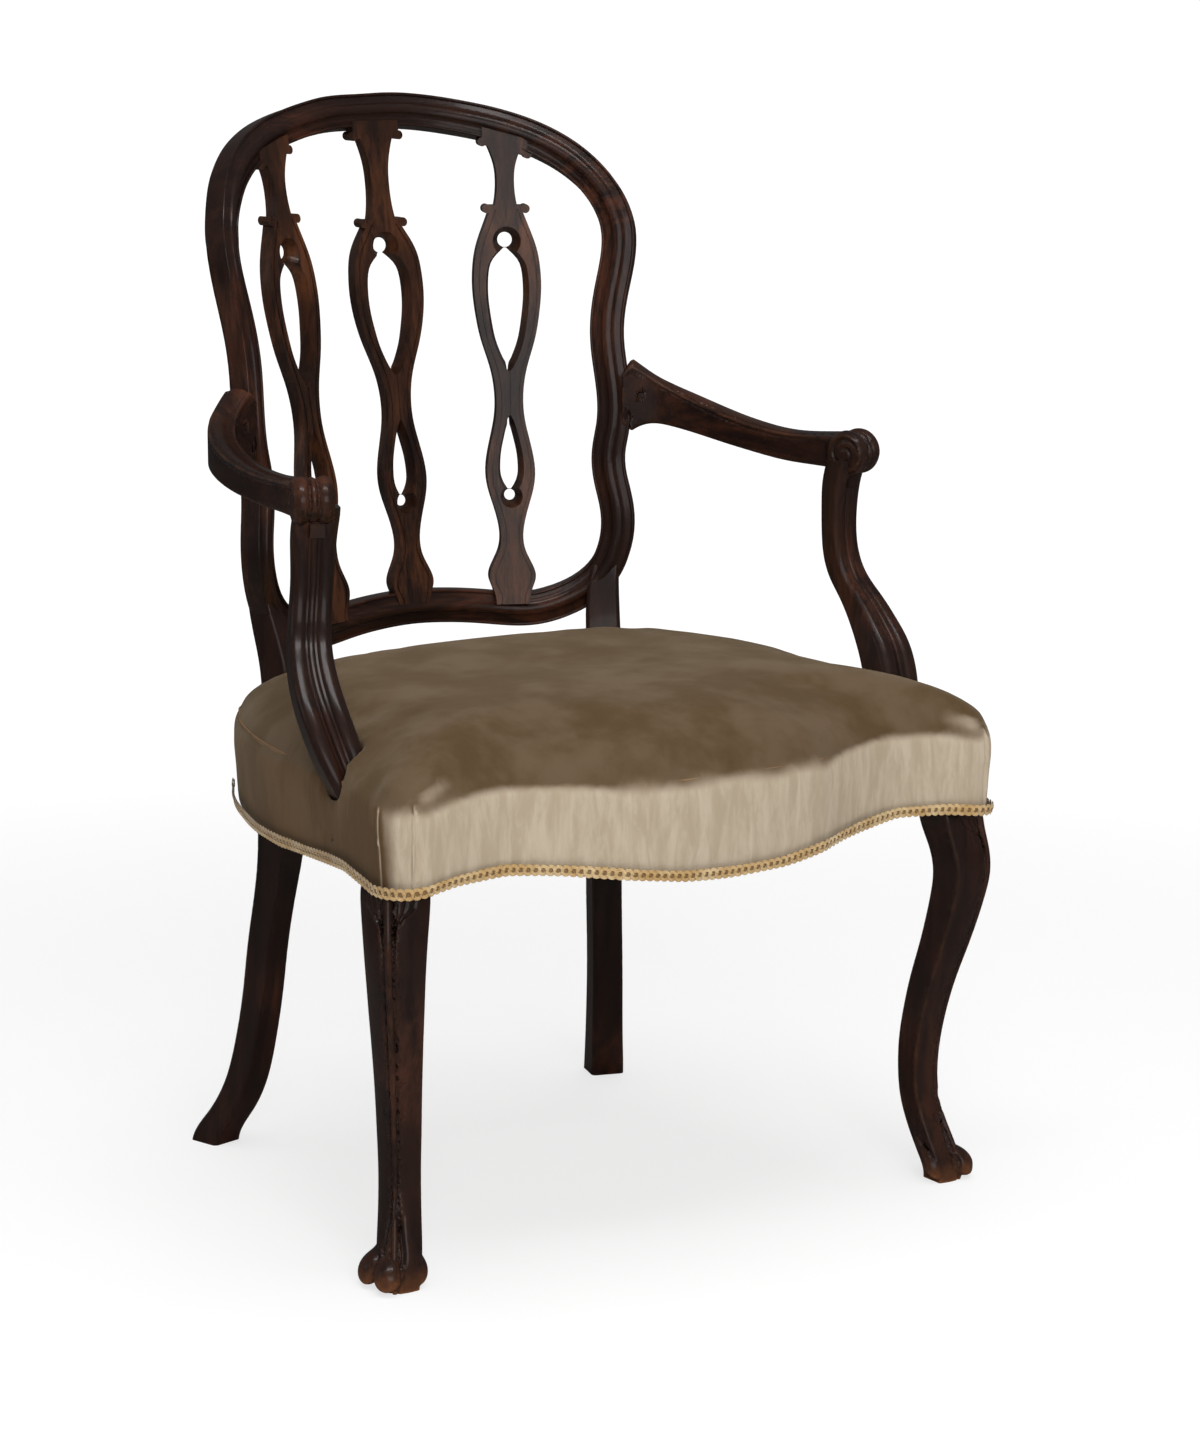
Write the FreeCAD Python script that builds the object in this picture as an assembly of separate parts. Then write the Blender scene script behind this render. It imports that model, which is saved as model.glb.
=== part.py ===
import FreeCAD, Part
import math
import os

V = FreeCAD.Vector
os.makedirs("parts", exist_ok=True)

# Open armchair with a hoop back, three pierced splats, scrolled arms and a stuffed serpentine seat
# Z is up, the floor is z = 0, the front faces -Y and +X is the right side seen from the front
# Driving dimensions in millimetres
overall_height = 965.0
seat_rail_top = 424.0
seat_crown_height = 476.0
arm_height = 651.0
middle_y = 23.0

# Back: drawn flat as girth (along the curve) and height, then bent to this surface
back_radius = 312.0
back_foot_y = 247.0
back_foot_height = 504.0
back_lean_share = 0.02
back_sweep_radius = 1613.0
hoop_forward = 4.0
hoop_width = 31.0
hoop_depth = 23.0
hoop_half_girth = 225.0
hoop_low = 487.5
moulding_relief = 4.2

# Joints
tenon_clearance = 0.15
tenon_end_gap = 1.0
overrun = 30.0
pad_clearance = 0.35

# Splats
splat_half_width = 36.5
splat_thickness = 13.0
splat_set_back = -3.0
splat_bow = 13.0
splat_low = 495.0
splat_high = 936.0
outer_splat_foot_x = 103.5
outer_splat_head_x = 107.5
outer_splat_turn = 22.0
outer_splat_forward = 5.5
splat_neck_start_share = 0.012
splat_crown_rise = 14.0
hole_bevel = 3.9
hole_overrun = 2.0
hole_least_share = 0.007
opening_slices = 26
splat_tenon_width = 20.0
splat_tenon_thickness = 7.0
splat_tenon_length = 24.0
splat_foot_tenon_share = 0.03
bead_width = 3.8
groove_width = 1.7
groove_depth = 1.3
eye_radius = 4.2

# Rear legs
rear_leg_width = 31.0
rear_leg_depth = 28.0
rear_foot_x = 216.5
rear_foot_y = 252.0
rear_leg_top_x = 176.0
rear_leg_top_y = 188.0
rear_leg_start = 575.0

# Front legs
front_leg_size = 48.5
front_leg_x = 272.0
front_leg_y = -192.0
knee_reach_x = 21.0
knee_reach_y = 33.0
knee_height = 352.0
toe_reach = 51.0
side_toe_reach = 40.0
front_toe_reach = 35.0
side_toe_turn = 40.0
toe_radius = 12.5
toe_height = 36.0
front_block_size = 44.0
front_block_x = 280.0
front_block_y = -216.0

# Seat outline, half of it, at the lower edge
seat_half_width = 314.5
seat_middle_y = -36.5
seat_half_depth = 253.5
cover_thickness = 1.8
cover_gap = 0.4
rail_inset = 3.2
rail_lower_gap = 1.5
lower_edge = 352.0
lower_edge_dip = 19.0
skirt_low = 300.0
rail_inner_y = -213.0
side_rail_front_x = 276.0
side_rail_rear_x = 188.0
side_rail_rear_y = 165.0
back_rail_front = 188.0
back_rail_rear = 210.0
rail_tenon_length = 14.0
rail_tenon_thickness = 10.0
rail_tenon_height = 40.0
block_leg = 52.0
rear_block_leg = 62.0
block_thickness = 40.0

# Seat suspension
web_width = 46.0
web_thickness = 1.6
web_rail_cover = 15.0
web_end_inset = 5.0
hessian_thickness = 1.2
tack_head_radius = 3.2
tack_head_height = 0.9
tack_radius = 0.9
tack_length = 9.0
tack_gap = 0.05

# Gimp braid
gimp_width = 11.0
gimp_thickness = 1.7
gimp_drop = 2.5
gimp_gap = 0.3

# Arms
arm_width = 25.0
arm_depth = 26.0
arm_joint_depth = 48.0
arm_joint_height = 679.0
scroll_x = 280.3
scroll_y = -69.5
scroll_radius = 19.8
scroll_half_width = 17.5
scroll_turn = 21.0
arm_tenon_width = 30.0
arm_tenon_thickness = 11.0
arm_tenon_length = 16.0
plug_radius = 3.0
plug_depth = 8.0
plug_reach = 11.0

# Arm supports
support_width = 38.0
support_depth = 24.0
support_foot_height = 372.0
support_tenon_size = 13.0
support_tenon_length = 16.0
screw_radius = 2.2
screw_head_radius = 4.4
screw_head_height = 2.6
screw_spacing = 20.0
support_screw_length = 26.0
block_screw_length = 42.0
screw_gap = 0.05


def mirrored(shape):
    return shape.mirror(V(0, 0, 0), V(1, 0, 0))


def save(shape, name):
    shape = shape.copy()
    shape.translate(V(0, -middle_y, 0))
    if len(shape.Solids) == 1:
        shape = shape.Solids[0]
    shape.exportStep("parts/" + name + ".step")
    print(name, len(shape.Solids), "solids, volume", round(shape.Volume), "valid", shape.isValid())


def save_pair(shape, name):
    save(shape, name + "_right")
    save(mirrored(shape), name + "_left")


def unit(vector):
    return V(vector).normalize()


def box_at(origin, along, across, up, size_along, size_across, size_up):
    """Box that starts at origin, runs size_along along, and is centred across and up."""
    a = unit(along) * size_along
    b = unit(across) * size_across
    c = unit(up) * size_up
    start = origin - b * 0.5 - c * 0.5
    face = Part.Face(Part.makePolygon([start, start + b, start + b + c, start + c, start]))
    return face.extrude(a)


def grown_box(origin, along, across, up, size_along, size_across, size_up):
    """The mortise for box_at with the same frame."""
    gap = tenon_clearance
    return box_at(origin - unit(along) * gap, along, across, up, size_along + tenon_end_gap,
                  size_across + 2 * gap, size_up + 2 * gap)


def wire_of(points, bulge_points=None):
    """Closed wire through points; an entry in bulge_points turns that edge into an arc."""
    edges = []
    for i, point in enumerate(points):
        following = points[(i + 1) % len(points)]
        through = bulge_points[i] if bulge_points else None
        if through is None:
            edges.append(Part.makeLine(point, following))
        else:
            edges.append(Part.Arc(point, through, following).toShape())
    return Part.Wire(edges)


def loft(wires):
    return Part.makeLoft(wires, True, False)


def largest(shape):
    return sorted(shape.Solids, key=lambda solid: solid.Volume)[-1]


# The bent surface that the back is drawn on
def back_line(height):
    rise = height - back_foot_height
    return back_foot_y + back_lean_share * rise + rise * rise / (2 * back_sweep_radius)


def back_slope(height):
    return back_lean_share + (height - back_foot_height) / back_sweep_radius


def back_frame(girth, height):
    """Point, direction along the girth, direction up and front normal."""
    turn = girth / back_radius
    x = back_radius * math.sin(turn)
    y = back_line(height) - back_radius * (1 - math.cos(turn))
    along = V(math.cos(turn), -math.sin(turn), 0)
    up = unit(V(0, back_slope(height), 1))
    front = unit(along.cross(up))
    return V(x, y, height), along, up, front


# Centre line of the hoop from the crest round to the middle of the lower rail, as shares of
# the half girth and of the height between the lower rail and the crest
hoop_line_shares = [
    (0.000, 1.000), (0.181, 0.998), (0.373, 0.984), (0.558, 0.963), (0.731, 0.930),
    (0.860, 0.887), (0.951, 0.833), (0.996, 0.765), (0.984, 0.705), (0.945, 0.640),
    (0.914, 0.580), (0.903, 0.525), (0.908, 0.470), (0.913, 0.415), (0.902, 0.358),
    (0.878, 0.305), (0.878, 0.255), (0.897, 0.205), (0.904, 0.155), (0.886, 0.105),
    (0.840, 0.058), (0.760, 0.020), (0.655, -0.006), (0.545, -0.019), (0.430, -0.018),
    (0.300, -0.010), (0.150, -0.003), (0.000, 0.000)]
hoop_crest = overall_height - hoop_width / 2


def hoop_flat_curve():
    span = hoop_crest - hoop_low
    right = [V(a * hoop_half_girth, hoop_low + b * span, 0) for a, b in hoop_line_shares]
    left = [V(-p.x, p.y, 0) for p in right[1:-1]]
    curve = Part.BSplineCurve()
    curve.interpolate(Points=right + left[::-1], PeriodicFlag=True)
    return curve


hoop_curve = hoop_flat_curve()


def hoop_parameter(point_index):
    """Curve parameter of an entry of hoop_line_shares, on the right side."""
    span = hoop_crest - hoop_low
    a, b = hoop_line_shares[point_index]
    return hoop_curve.parameter(V(a * hoop_half_girth, hoop_low + b * span, 0))


def hoop_station(parameter):
    """Origin on the hoop's front, outward width, front normal and travel direction."""
    flat = hoop_curve.value(parameter)
    tangent = hoop_curve.tangent(parameter)[0]
    point, along, up, front = back_frame(flat.x, flat.y)
    travel = unit(along * tangent.x + up * tangent.y)
    outward = unit(front.cross(travel))
    return point + front * hoop_forward, outward, front, travel


# Moulded section of the hoop: (share of the width from the inner edge, share of the relief)
moulding_shares = [
    (0.00, -1.10), (0.08, -1.00), (0.18, -0.80), (0.38, 0.00), (0.63, 0.00),
    (0.79, -0.80), (0.92, -1.00), (1.00, -1.10)]
moulding_bulge_shares = [
    (0.04, -0.55), None, (0.30, -0.60), (0.505, 0.22), (0.71, -0.60), None, (0.96, -0.55), None]


def moulded_section(origin, outward, front, width, depth, relief):
    """Twelve edge closed section: moulded front, flat sides and rounded back corners."""
    def place(share, rise):
        return origin + outward * ((share - 0.5) * width) + front * rise

    corner = 0.16
    points = [place(a, b * relief) for a, b in moulding_shares]
    bulges = [place(b[0], b[1] * relief) if b else None for b in moulding_bulge_shares]
    back = [(1.0, -depth + corner * depth), (1.0 - corner, -depth),
            (corner, -depth), (0.0, -depth + corner * depth)]
    points += [place(a, b) for a, b in back]
    inner = corner * 0.29
    bulges += [place(1.0 - inner, -depth + inner * depth), None,
               place(inner, -depth + inner * depth), None]
    return wire_of(points, bulges)


def hoop_loft(first, last, count):
    wires = []
    for i in range(count):
        parameter = first + (last - first) * i / (count - 1)
        origin, outward, front, travel = hoop_station(parameter)
        wires.append(moulded_section(origin, outward, front, hoop_width, hoop_depth, moulding_relief))
    return loft(wires)


crest_joint_index = 7
rail_joint_index = 22
hoop_tenon_width = 17.0
hoop_tenon_thickness = 9.0
hoop_tenon_length = 24.0


def hoop_tenon(point_index, reverse, grown):
    origin, outward, front, travel = hoop_station(hoop_parameter(point_index))
    middle = origin - front * (hoop_depth * 0.56)
    along = travel * (-1 if reverse else 1)
    make = grown_box if grown else box_at
    return make(middle, along, outward, front, hoop_tenon_length, hoop_tenon_width,
                hoop_tenon_thickness)


def rear_leg_stations():
    """Centre, turn and size of the leg below the hoop, from the top down."""
    drop = rear_leg_start
    run_x = rear_foot_x - rear_leg_top_x
    run_y = rear_foot_y - rear_leg_top_y
    table = [
        (0.950, 0.425, 0.086, 37.0, 0.66, 0.58), (0.900, 0.205, 0.167, 36.0, 0.84, 0.78),
        (0.862, 0.090, 0.120, 35.0, 0.97, 0.92),
        (0.800, -0.035, -0.010, 33.0, 1.06, 1.04), (0.720, -0.075, -0.080, 27.0, 1.14, 1.14),
        (0.600, 0.000, -0.010, 20.0, 1.17, 1.17), (0.520, 0.000, 0.000, 18.0, 1.12, 1.13),
        (0.435, 0.085, 0.085, 17.0, 1.00, 1.03), (0.345, 0.205, 0.205, 16.0, 0.97, 0.99),
        (0.260, 0.300, 0.280, 16.0, 0.97, 0.98), (0.175, 0.420, 0.395, 16.0, 0.98, 1.00),
        (0.105, 0.565, 0.550, 16.0, 1.00, 1.06), (0.052, 0.780, 0.770, 16.0, 1.03, 1.14),
        (0.000, 1.000, 1.000, 16.0, 1.06, 1.22)]
    for rise, x_share, y_share, turn, width_share, depth_share in table:
        centre = V(rear_leg_top_x + run_x * x_share, rear_leg_top_y + run_y * y_share, drop * rise)
        yield centre, turn, rear_leg_width * width_share, rear_leg_depth * depth_share


def plain_section(centre, turn, width, depth, corner_share=0.14):
    """Eight edge rounded rectangle, its front turned inward by turn degrees."""
    angle = math.radians(turn)
    across = V(math.cos(angle), -math.sin(angle), 0)
    front = V(-math.sin(angle), -math.cos(angle), 0)
    corner = corner_share * min(width, depth)
    w = width / 2
    d = depth / 2
    near = corner * 0.293

    def place(a, b):
        return centre + across * a + front * b

    points = [place(-w + corner, d), place(w - corner, d), place(w, d - corner),
              place(w, -d + corner), place(w - corner, -d), place(-w + corner, -d),
              place(-w, -d + corner), place(-w, d - corner)]
    bulges = [None, place(w - near, d - near), None, place(w - near, -d + near), None,
              place(-w + near, -d + near), None, place(-w + near, d - near)]
    return wire_of(points, bulges)


def make_rear_leg():
    stile = hoop_loft(hoop_parameter(crest_joint_index), hoop_parameter(rail_joint_index), 31)
    leg = loft([plain_section(*station) for station in rear_leg_stations()])
    shape = stile.fuse(leg)
    shape = shape.cut(hoop_tenon(crest_joint_index, False, True))
    shape = shape.cut(hoop_tenon(rail_joint_index, True, True))
    return shape


def hoop_parameter_left(point_index):
    span = hoop_crest - hoop_low
    a, b = hoop_line_shares[point_index]
    return hoop_curve.parameter(V(-a * hoop_half_girth, hoop_low + b * span, 0))


def make_crest_rail():
    end = hoop_parameter(crest_joint_index)
    period = hoop_curve.LastParameter - hoop_curve.FirstParameter
    low = hoop_parameter_left(crest_joint_index) - period
    wires = []
    count = 27
    for i in range(count):
        parameter = low + (end - low) * i / (count - 1)
        if parameter < hoop_curve.FirstParameter:
            parameter += period
        origin, outward, front, travel = hoop_station(parameter)
        wires.append(moulded_section(origin, outward, front, hoop_width, hoop_depth, moulding_relief))
    tenon = hoop_tenon(crest_joint_index, False, False)
    return loft(wires).fuse([tenon, mirrored(tenon)])


def make_lower_back_rail():
    shape = hoop_loft(hoop_parameter(rail_joint_index), hoop_parameter_left(rail_joint_index), 17)
    tenon = hoop_tenon(rail_joint_index, True, False)
    return shape.fuse([tenon, mirrored(tenon)])


# Splat outline: (height share, half width share), from the foot to the shoulder
splat_side_shares = [
    (-0.022, 0.44), (0.000, 0.47), (0.013, 0.52), (0.036, 0.605), (0.066, 0.50), (0.096, 0.335),
    (0.125, 0.290), (0.155, 0.340), (0.184, 0.436), (0.226, 0.586), (0.261, 0.632), (0.303, 0.57),
    (0.342, 0.46), (0.378, 0.375), (0.421, 0.355), (0.480, 0.475), (0.539, 0.735), (0.598, 0.93),
    (0.652, 1.00), (0.690, 0.983), (0.728, 0.905), (0.757, 0.75), (0.780, 0.575), (0.797, 0.46)]
# Neck: (share of the way from the shoulder to the crown, half width share)
splat_neck_shares = [
    (0.00, 0.42), (0.22, 0.29), (0.45, 0.255), (0.66, 0.29), (0.84, 0.40), (1.00, 0.54)]
splat_narrow_start_share = 0.45
splat_narrow_end_share = 0.60
splat_lift_start_share = 0.74
splat_ear_share = 0.795
splat_lift_end_share = 0.957
splat_ear_reach_share = 0.575
splat_crown_reach_share = 0.67
upper_hole_shares = [
    (0.474, 0.00), (0.489, 0.16), (0.509, 0.285), (0.539, 0.428), (0.568, 0.517), (0.598, 0.59),
    (0.628, 0.632), (0.657, 0.635), (0.681, 0.61), (0.704, 0.53), (0.720, 0.38),
    (0.733, 0.20)]
upper_eye_shares = (0.748, 0.37, 0.19)
lower_hole_shares = [
    (0.380, 0.00), (0.364, 0.11), (0.333, 0.220), (0.303, 0.300), (0.273, 0.335), (0.249, 0.320),
    (0.234, 0.26), (0.221, 0.17)]
lower_eye_shares = (0.209, 0.29, 0.14)
rib_groove_shares = (0.378, 0.472)

# Style of a splat: narrowing of the upper part, lift of the shoulder, height share of the
# crown at its inner and at its outer end
centre_style = (0.000, 0.000, 0.977, 0.977)
outer_style = (0.115, 0.022, 0.958, 0.928)


def splat_half(share, style):
    t = (share - splat_narrow_start_share) / (splat_narrow_end_share - splat_narrow_start_share)
    return splat_half_width * (1 - style[0] * min(max(t, 0), 1))


def splat_lift(share, style):
    if share < splat_ear_share:
        t = (share - splat_lift_start_share) / (splat_ear_share - splat_lift_start_share)
    else:
        t = (splat_lift_end_share - share) / (splat_lift_end_share - splat_ear_share)
    return style[1] * max(t, 0)


def splat_point(share, side, style):
    rise = splat_high - splat_low
    return V(side * splat_half(share, style), 0, splat_low + (share + splat_lift(share, style)) * rise)


def smooth_edge(points):
    curve = Part.BSplineCurve()
    curve.interpolate(points)
    return curve.toShape()


def two_sided_face(right):
    """Symmetrical face between a right side line and its mirror image."""
    left = [V(-p.x, 0, p.z) for p in right]
    edges = [smooth_edge(right), Part.makeLine(right[-1], left[-1]), smooth_edge(left[::-1]),
             Part.makeLine(left[0], right[0])]
    return Part.Face(Part.Wire(edges))


def disc(centre, radius):
    return Part.Face(Part.Wire(Part.Circle(centre, V(0, 1, 0), radius).toShape()))


def polygon_face(points):
    return Part.Face(Part.makePolygon(points + [points[0]]))


def plane_prism(face):
    """Prism of a flat outline, long enough to pass through the back."""
    moved = face.copy()
    moved.translate(V(0, 0.5 * back_foot_y, 0))
    return moved.extrude(V(0, back_foot_y, 0))


def splat_blank(style):
    body = two_sided_face([splat_point(a, b, style) for a, b in splat_side_shares])
    low = splat_ear_share - splat_neck_start_share
    high = (style[2] + style[3]) / 2 + splat_neck_start_share
    neck = two_sided_face([splat_point(low + (high - low) * a, b, style)
                           for a, b in splat_neck_shares])
    inner = splat_point(style[2], -splat_crown_reach_share, style)
    outer = splat_point(style[3], splat_crown_reach_share, style)
    down = V(0, 0, -0.6 * eye_radius)
    up = V(0, 0, splat_crown_rise)
    crown = polygon_face([inner + down, outer + down, outer + up, inner + up])
    left_ear = splat_point(splat_ear_share, -splat_ear_reach_share, style)
    right_ear = splat_point(splat_ear_share, splat_ear_reach_share, style)
    tall = V(0, 0, 0.8 * eye_radius)
    bar = polygon_face([left_ear - tall, right_ear - tall, right_ear + tall, left_ear + tall])
    faces = [body, neck, crown, bar]
    faces += [disc(centre, eye_radius) for centre in (inner, outer, left_ear, right_ear)]
    solids = [plane_prism(face) for face in faces]
    return solids[0].fuse(solids[1:]).removeSplitter()


def splat_set(height):
    """How far the splat's front stands behind the back's surface."""
    share = (height - splat_low) / (splat_high - splat_low)
    return splat_set_back + 4 * splat_bow * share * (1 - share)


def splat_front(point, depth):
    """A flat outline point carried to a depth behind the splat's front."""
    return V(point.x, back_line(point.z) + splat_set(point.z) + depth, point.z)


def opening_tool(shares, style):
    """Pierced opening as level slices; it narrows towards the back."""
    curve = smooth_edge([splat_point(a, b, style) for a, b in shares]).Curve
    span = curve.LastParameter - curve.FirstParameter
    flat = [curve.value(curve.FirstParameter + span * i / opening_slices)
            for i in range(opening_slices + 1)]
    least = hole_least_share * splat_half_width
    wires = []
    for i, point in enumerate(flat):
        after = flat[min(i + 1, len(flat) - 1)]
        before = flat[max(i - 1, 0)]
        slope = (after.x - before.x) / (after.z - before.z)
        splay = hole_bevel * math.sqrt(1 + slope * slope) / splat_thickness
        front_half = max(point.x, least) + splay * hole_overrun
        rear_half = max(point.x - splay * (splat_thickness + hole_overrun), least)
        near = splat_front(point, -hole_overrun)
        far = splat_front(point, splat_thickness + hole_overrun)
        wires.append(wire_of([V(-front_half, near.y, point.z), V(front_half, near.y, point.z),
                              V(rear_half, far.y, point.z), V(-rear_half, far.y, point.z)]))
    return Part.makeLoft(wires, True, True)


def splat_holes(style):
    tools = []
    beyond = hole_overrun
    for shares, eye in ((upper_hole_shares, upper_eye_shares), (lower_hole_shares, lower_eye_shares)):
        tools.append(opening_tool(shares, style))
        centre = splat_front(splat_point(eye[0], 0, style), -beyond)
        front_radius = eye[1] * splat_half_width
        slope = (eye[1] - eye[2]) * splat_half_width / splat_thickness
        tools.append(Part.makeCone(front_radius + slope * beyond,
                                   front_radius - slope * (splat_thickness + beyond),
                                   splat_thickness + 2 * beyond, centre, V(0, 1, 0)))
    return tools


def bent_slab(front_offset, thickness):
    """Board that follows the back's side curve, as wide as two splats."""
    count = 11
    low = splat_low - overrun
    high = splat_high + overrun
    heights = [low + (high - low) * i / (count - 1) for i in range(count)]
    face_line = [splat_front(V(0, 0, z), front_offset) for z in heights]
    rear_line = [p + V(0, thickness, 0) for p in face_line]
    edges = [smooth_edge(face_line), Part.makeLine(face_line[-1], rear_line[-1]),
             smooth_edge(rear_line[::-1]), Part.makeLine(rear_line[0], face_line[0])]
    face = Part.Face(Part.Wire(edges))
    face.translate(V(-2 * splat_half_width, 0, 0))
    return face.extrude(V(4 * splat_half_width, 0, 0))


def splat_grooves(style):
    """Line cut a bead's width inside the outer edge, and the rib's line."""
    curve = smooth_edge([splat_point(a, b, style) for a, b in splat_side_shares]).Curve
    outer = []
    inner = []
    count = 31
    for i in range(count):
        u = curve.FirstParameter + (curve.LastParameter - curve.FirstParameter) * i / (count - 1)
        point = curve.value(u)
        tangent = curve.tangent(u)[0]
        inward = unit(V(-tangent.z, 0, tangent.x))
        outer.append(point + inward * bead_width)
        inner.append(point + inward * (bead_width + groove_width))
    edges = [smooth_edge(outer), Part.makeLine(outer[-1], inner[-1]),
             smooth_edge(inner[::-1]), Part.makeLine(inner[0], outer[0])]
    groove = plane_prism(Part.Face(Part.Wire(edges)))
    low = splat_point(rib_groove_shares[0], 0, style)
    high = splat_point(rib_groove_shares[1], 0, style)
    half = V(groove_width / 2, 0, 0)
    rib = plane_prism(polygon_face([low - half, low + half, high + half, high - half]))
    return [groove, mirrored(groove), rib]


def splat_place(shape, foot_x, head_x, turn):
    """Lean sideways, turn about the upright and carry to the bent surface."""
    if head_x == 0:
        return shape
    middle_z = (splat_low + splat_high) / 2
    rise = splat_high - splat_low
    middle_x = (foot_x + head_x) / 2
    lean = math.degrees(math.atan2(head_x - foot_x, rise))
    settled = back_radius - math.sqrt(back_radius ** 2 - middle_x ** 2)
    shape = shape.copy()
    shape.rotate(V(0, 0, middle_z), V(0, 1, 0), lean)
    pivot = V(0, back_line(middle_z), 0)
    shape.rotate(pivot, V(0, 0, 1), -turn)
    shape.translate(V(middle_x, -settled - outer_splat_forward, 0))
    return shape


def splat_tenons(style, place, grown):
    """Stub tenons at the head and the foot, placed with the splat."""
    make = grown_box if grown else box_at
    head = splat_point((style[2] + style[3]) / 2, 0, style)
    foot = splat_point(splat_foot_tenon_share, 0, style)
    tenons = []
    for point, way in ((head, 1), (foot, -1)):
        start = splat_front(point, splat_thickness / 2)
        up = V(0, back_slope(point.z), 1) * way
        tenons.append(make(start, up, V(1, 0, 0), V(0, 1, 0), splat_tenon_length,
                           splat_tenon_width, splat_tenon_thickness))
    return [splat_place(tenon, *place) for tenon in tenons]


def make_splat(crest, rail, style, place):
    slab = bent_slab(0, splat_thickness)
    shape = splat_blank(style).common(slab)
    shape = shape.cut(splat_holes(style))
    skin = bent_slab(-overrun, overrun + groove_depth)
    shape = shape.cut([groove.common(skin) for groove in splat_grooves(style)])
    shape = splat_place(shape, *place)
    shape = shape.cut([crest, rail])
    shape = largest(shape)
    return largest(shape.fuse(splat_tenons(style, place, False)))


# Front leg: (height share of the knee, reach share, width share); reach is along the diagonal
front_leg_shares = [
    (1.000, 0.60, 0.88), (0.945, 0.76, 0.91), (0.880, 0.935, 0.86), (0.820, 1.00, 0.815),
    (0.765, 0.93, 0.78), (0.700, 0.79, 0.745), (0.620, 0.585, 0.70), (0.540, 0.36, 0.66),
    (0.455, 0.17, 0.625), (0.370, 0.04, 0.60), (0.285, 0.00, 0.575), (0.215, 0.06, 0.575),
    (0.160, 0.20, 0.59), (0.110, 0.38, 0.61), (0.060, 0.56, 0.60), (0.000, 0.64, 0.54)]


def leg_section(centre, size):
    """Square section whose outer corner is a bead between two grooves."""
    h = size / 2

    def place(a, b):
        return centre + V(a * h, b * h, 0)

    points = [place(-0.82, 1.0), place(0.84, 1.0), place(1.0, 0.84), place(1.0, -0.50),
              place(0.80, -0.62), place(0.62, -0.80), place(0.50, -1.0), place(-0.84, -1.0),
              place(-1.0, -0.84), place(-1.0, 0.82)]
    bulges = [None, place(0.953, 0.953), place(1.06, 0.17), None, place(0.90, -0.90), None,
              place(-0.17, -1.06), place(-0.953, -0.953), None, place(-0.947, 0.947)]
    return wire_of(points, bulges)


def front_leg_centre(rise_share, reach_share):
    return V(front_leg_x + knee_reach_x * reach_share, front_leg_y - knee_reach_y * reach_share,
             knee_height * rise_share)


def toe(reach, turn, radius, height):
    """Rounded lobe that runs out and down from the ankle to the floor."""
    angle = math.radians(-45 + turn)
    out = V(math.cos(angle), math.sin(angle), 0)
    side = V(-out.y, out.x, 0)
    base = V(front_leg_x, front_leg_y, 0)
    wires = []
    for along, lift, grow in ((0.18, 1.02, 0.70), (0.42, 0.80, 0.86), (0.66, 0.52, 1.0),
                              (0.86, 0.40, 0.92), (0.965, 0.34, 0.62), (1.0, 0.32, 0.22)):
        centre = base + out * (reach * along) + V(0, 0, height * lift)
        r = radius * grow
        points = [centre + side * r, centre + V(0, 0, r), centre - side * r, centre - V(0, 0, r)]
        k = math.sqrt(0.5) * r
        bulges = [centre + side * k + V(0, 0, k), centre - side * k + V(0, 0, k),
                  centre - side * k - V(0, 0, k), centre + side * k - V(0, 0, k)]
        wires.append(wire_of(points, bulges))
    return loft(wires)


def front_block():
    """Square top of the front leg, inside the corner of the seat."""
    half = front_block_size / 2
    return Part.makeBox(front_block_size, front_block_size, seat_rail_top - knee_height,
                        V(front_block_x - half, front_block_y - half, knee_height))


def make_front_leg():
    wires = []
    for rise_share, reach_share, width_share in front_leg_shares:
        wires.append(leg_section(front_leg_centre(rise_share, reach_share),
                                 front_leg_size * width_share))
    shape = loft(wires).fuse(front_block())
    toes = [toe(toe_reach, 0, toe_radius, toe_height)]
    toes.append(toe(front_toe_reach, -side_toe_turn, toe_radius, toe_height))
    toes.append(toe(side_toe_reach, side_toe_turn, toe_radius, toe_height))
    shape = shape.fuse(toes)
    floor = Part.makeBox(8 * toe_reach, 8 * toe_reach, overrun,
                         V(front_leg_x - 4 * toe_reach, front_leg_y - 4 * toe_reach, -overrun))
    shape = shape.cut(floor)
    return shape


# Plan of the seat, right half: arcs through three points each, from the front middle round to
# the back middle, as shares of the half width and the half depth
seat_arc_shares = [
    ((0.000, -1.000), (0.159, -0.998), (0.318, -0.965)),
    ((0.318, -0.965), (0.477, -0.882), (0.636, -0.834)),
    ((0.636, -0.834), (0.779, -0.851), (0.895, -0.881)),
    ((0.895, -0.881), (0.944, -0.868), (0.974, -0.822)),
    ((0.974, -0.822), (0.986, -0.775), (0.986, -0.730)),
    ((0.986, -0.730), (0.974, -0.586), (0.950, -0.389)),
    ((0.950, -0.389), (0.930, -0.191), (0.914, 0.006)),
    ((0.914, 0.006), (0.894, 0.243), (0.846, 0.491)),
    ((0.846, 0.491), (0.797, 0.668), (0.738, 0.807)),
    ((0.738, 0.807), (0.689, 0.905), (0.604, 0.965)),
    ((0.604, 0.965), (0.302, 0.994), (0.000, 1.000))]


def seat_plan_point(share, scale, height, side=1):
    return V(side * share[0] * seat_half_width * scale,
             seat_middle_y + share[1] * seat_half_depth * scale, height)


def seat_wire(scale, height):
    edges = []
    for first, middle, last in seat_arc_shares:
        arc = [seat_plan_point(share, scale, height) for share in (first, middle, last)]
        edges.append(Part.Arc(*arc).toShape())
    for last, middle, first in reversed(seat_arc_shares):
        arc = [seat_plan_point(share, scale, height, -1) for share in (first, middle, last)]
        edges.append(Part.Arc(*arc).toShape())
    return Part.Wire(edges)


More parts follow.
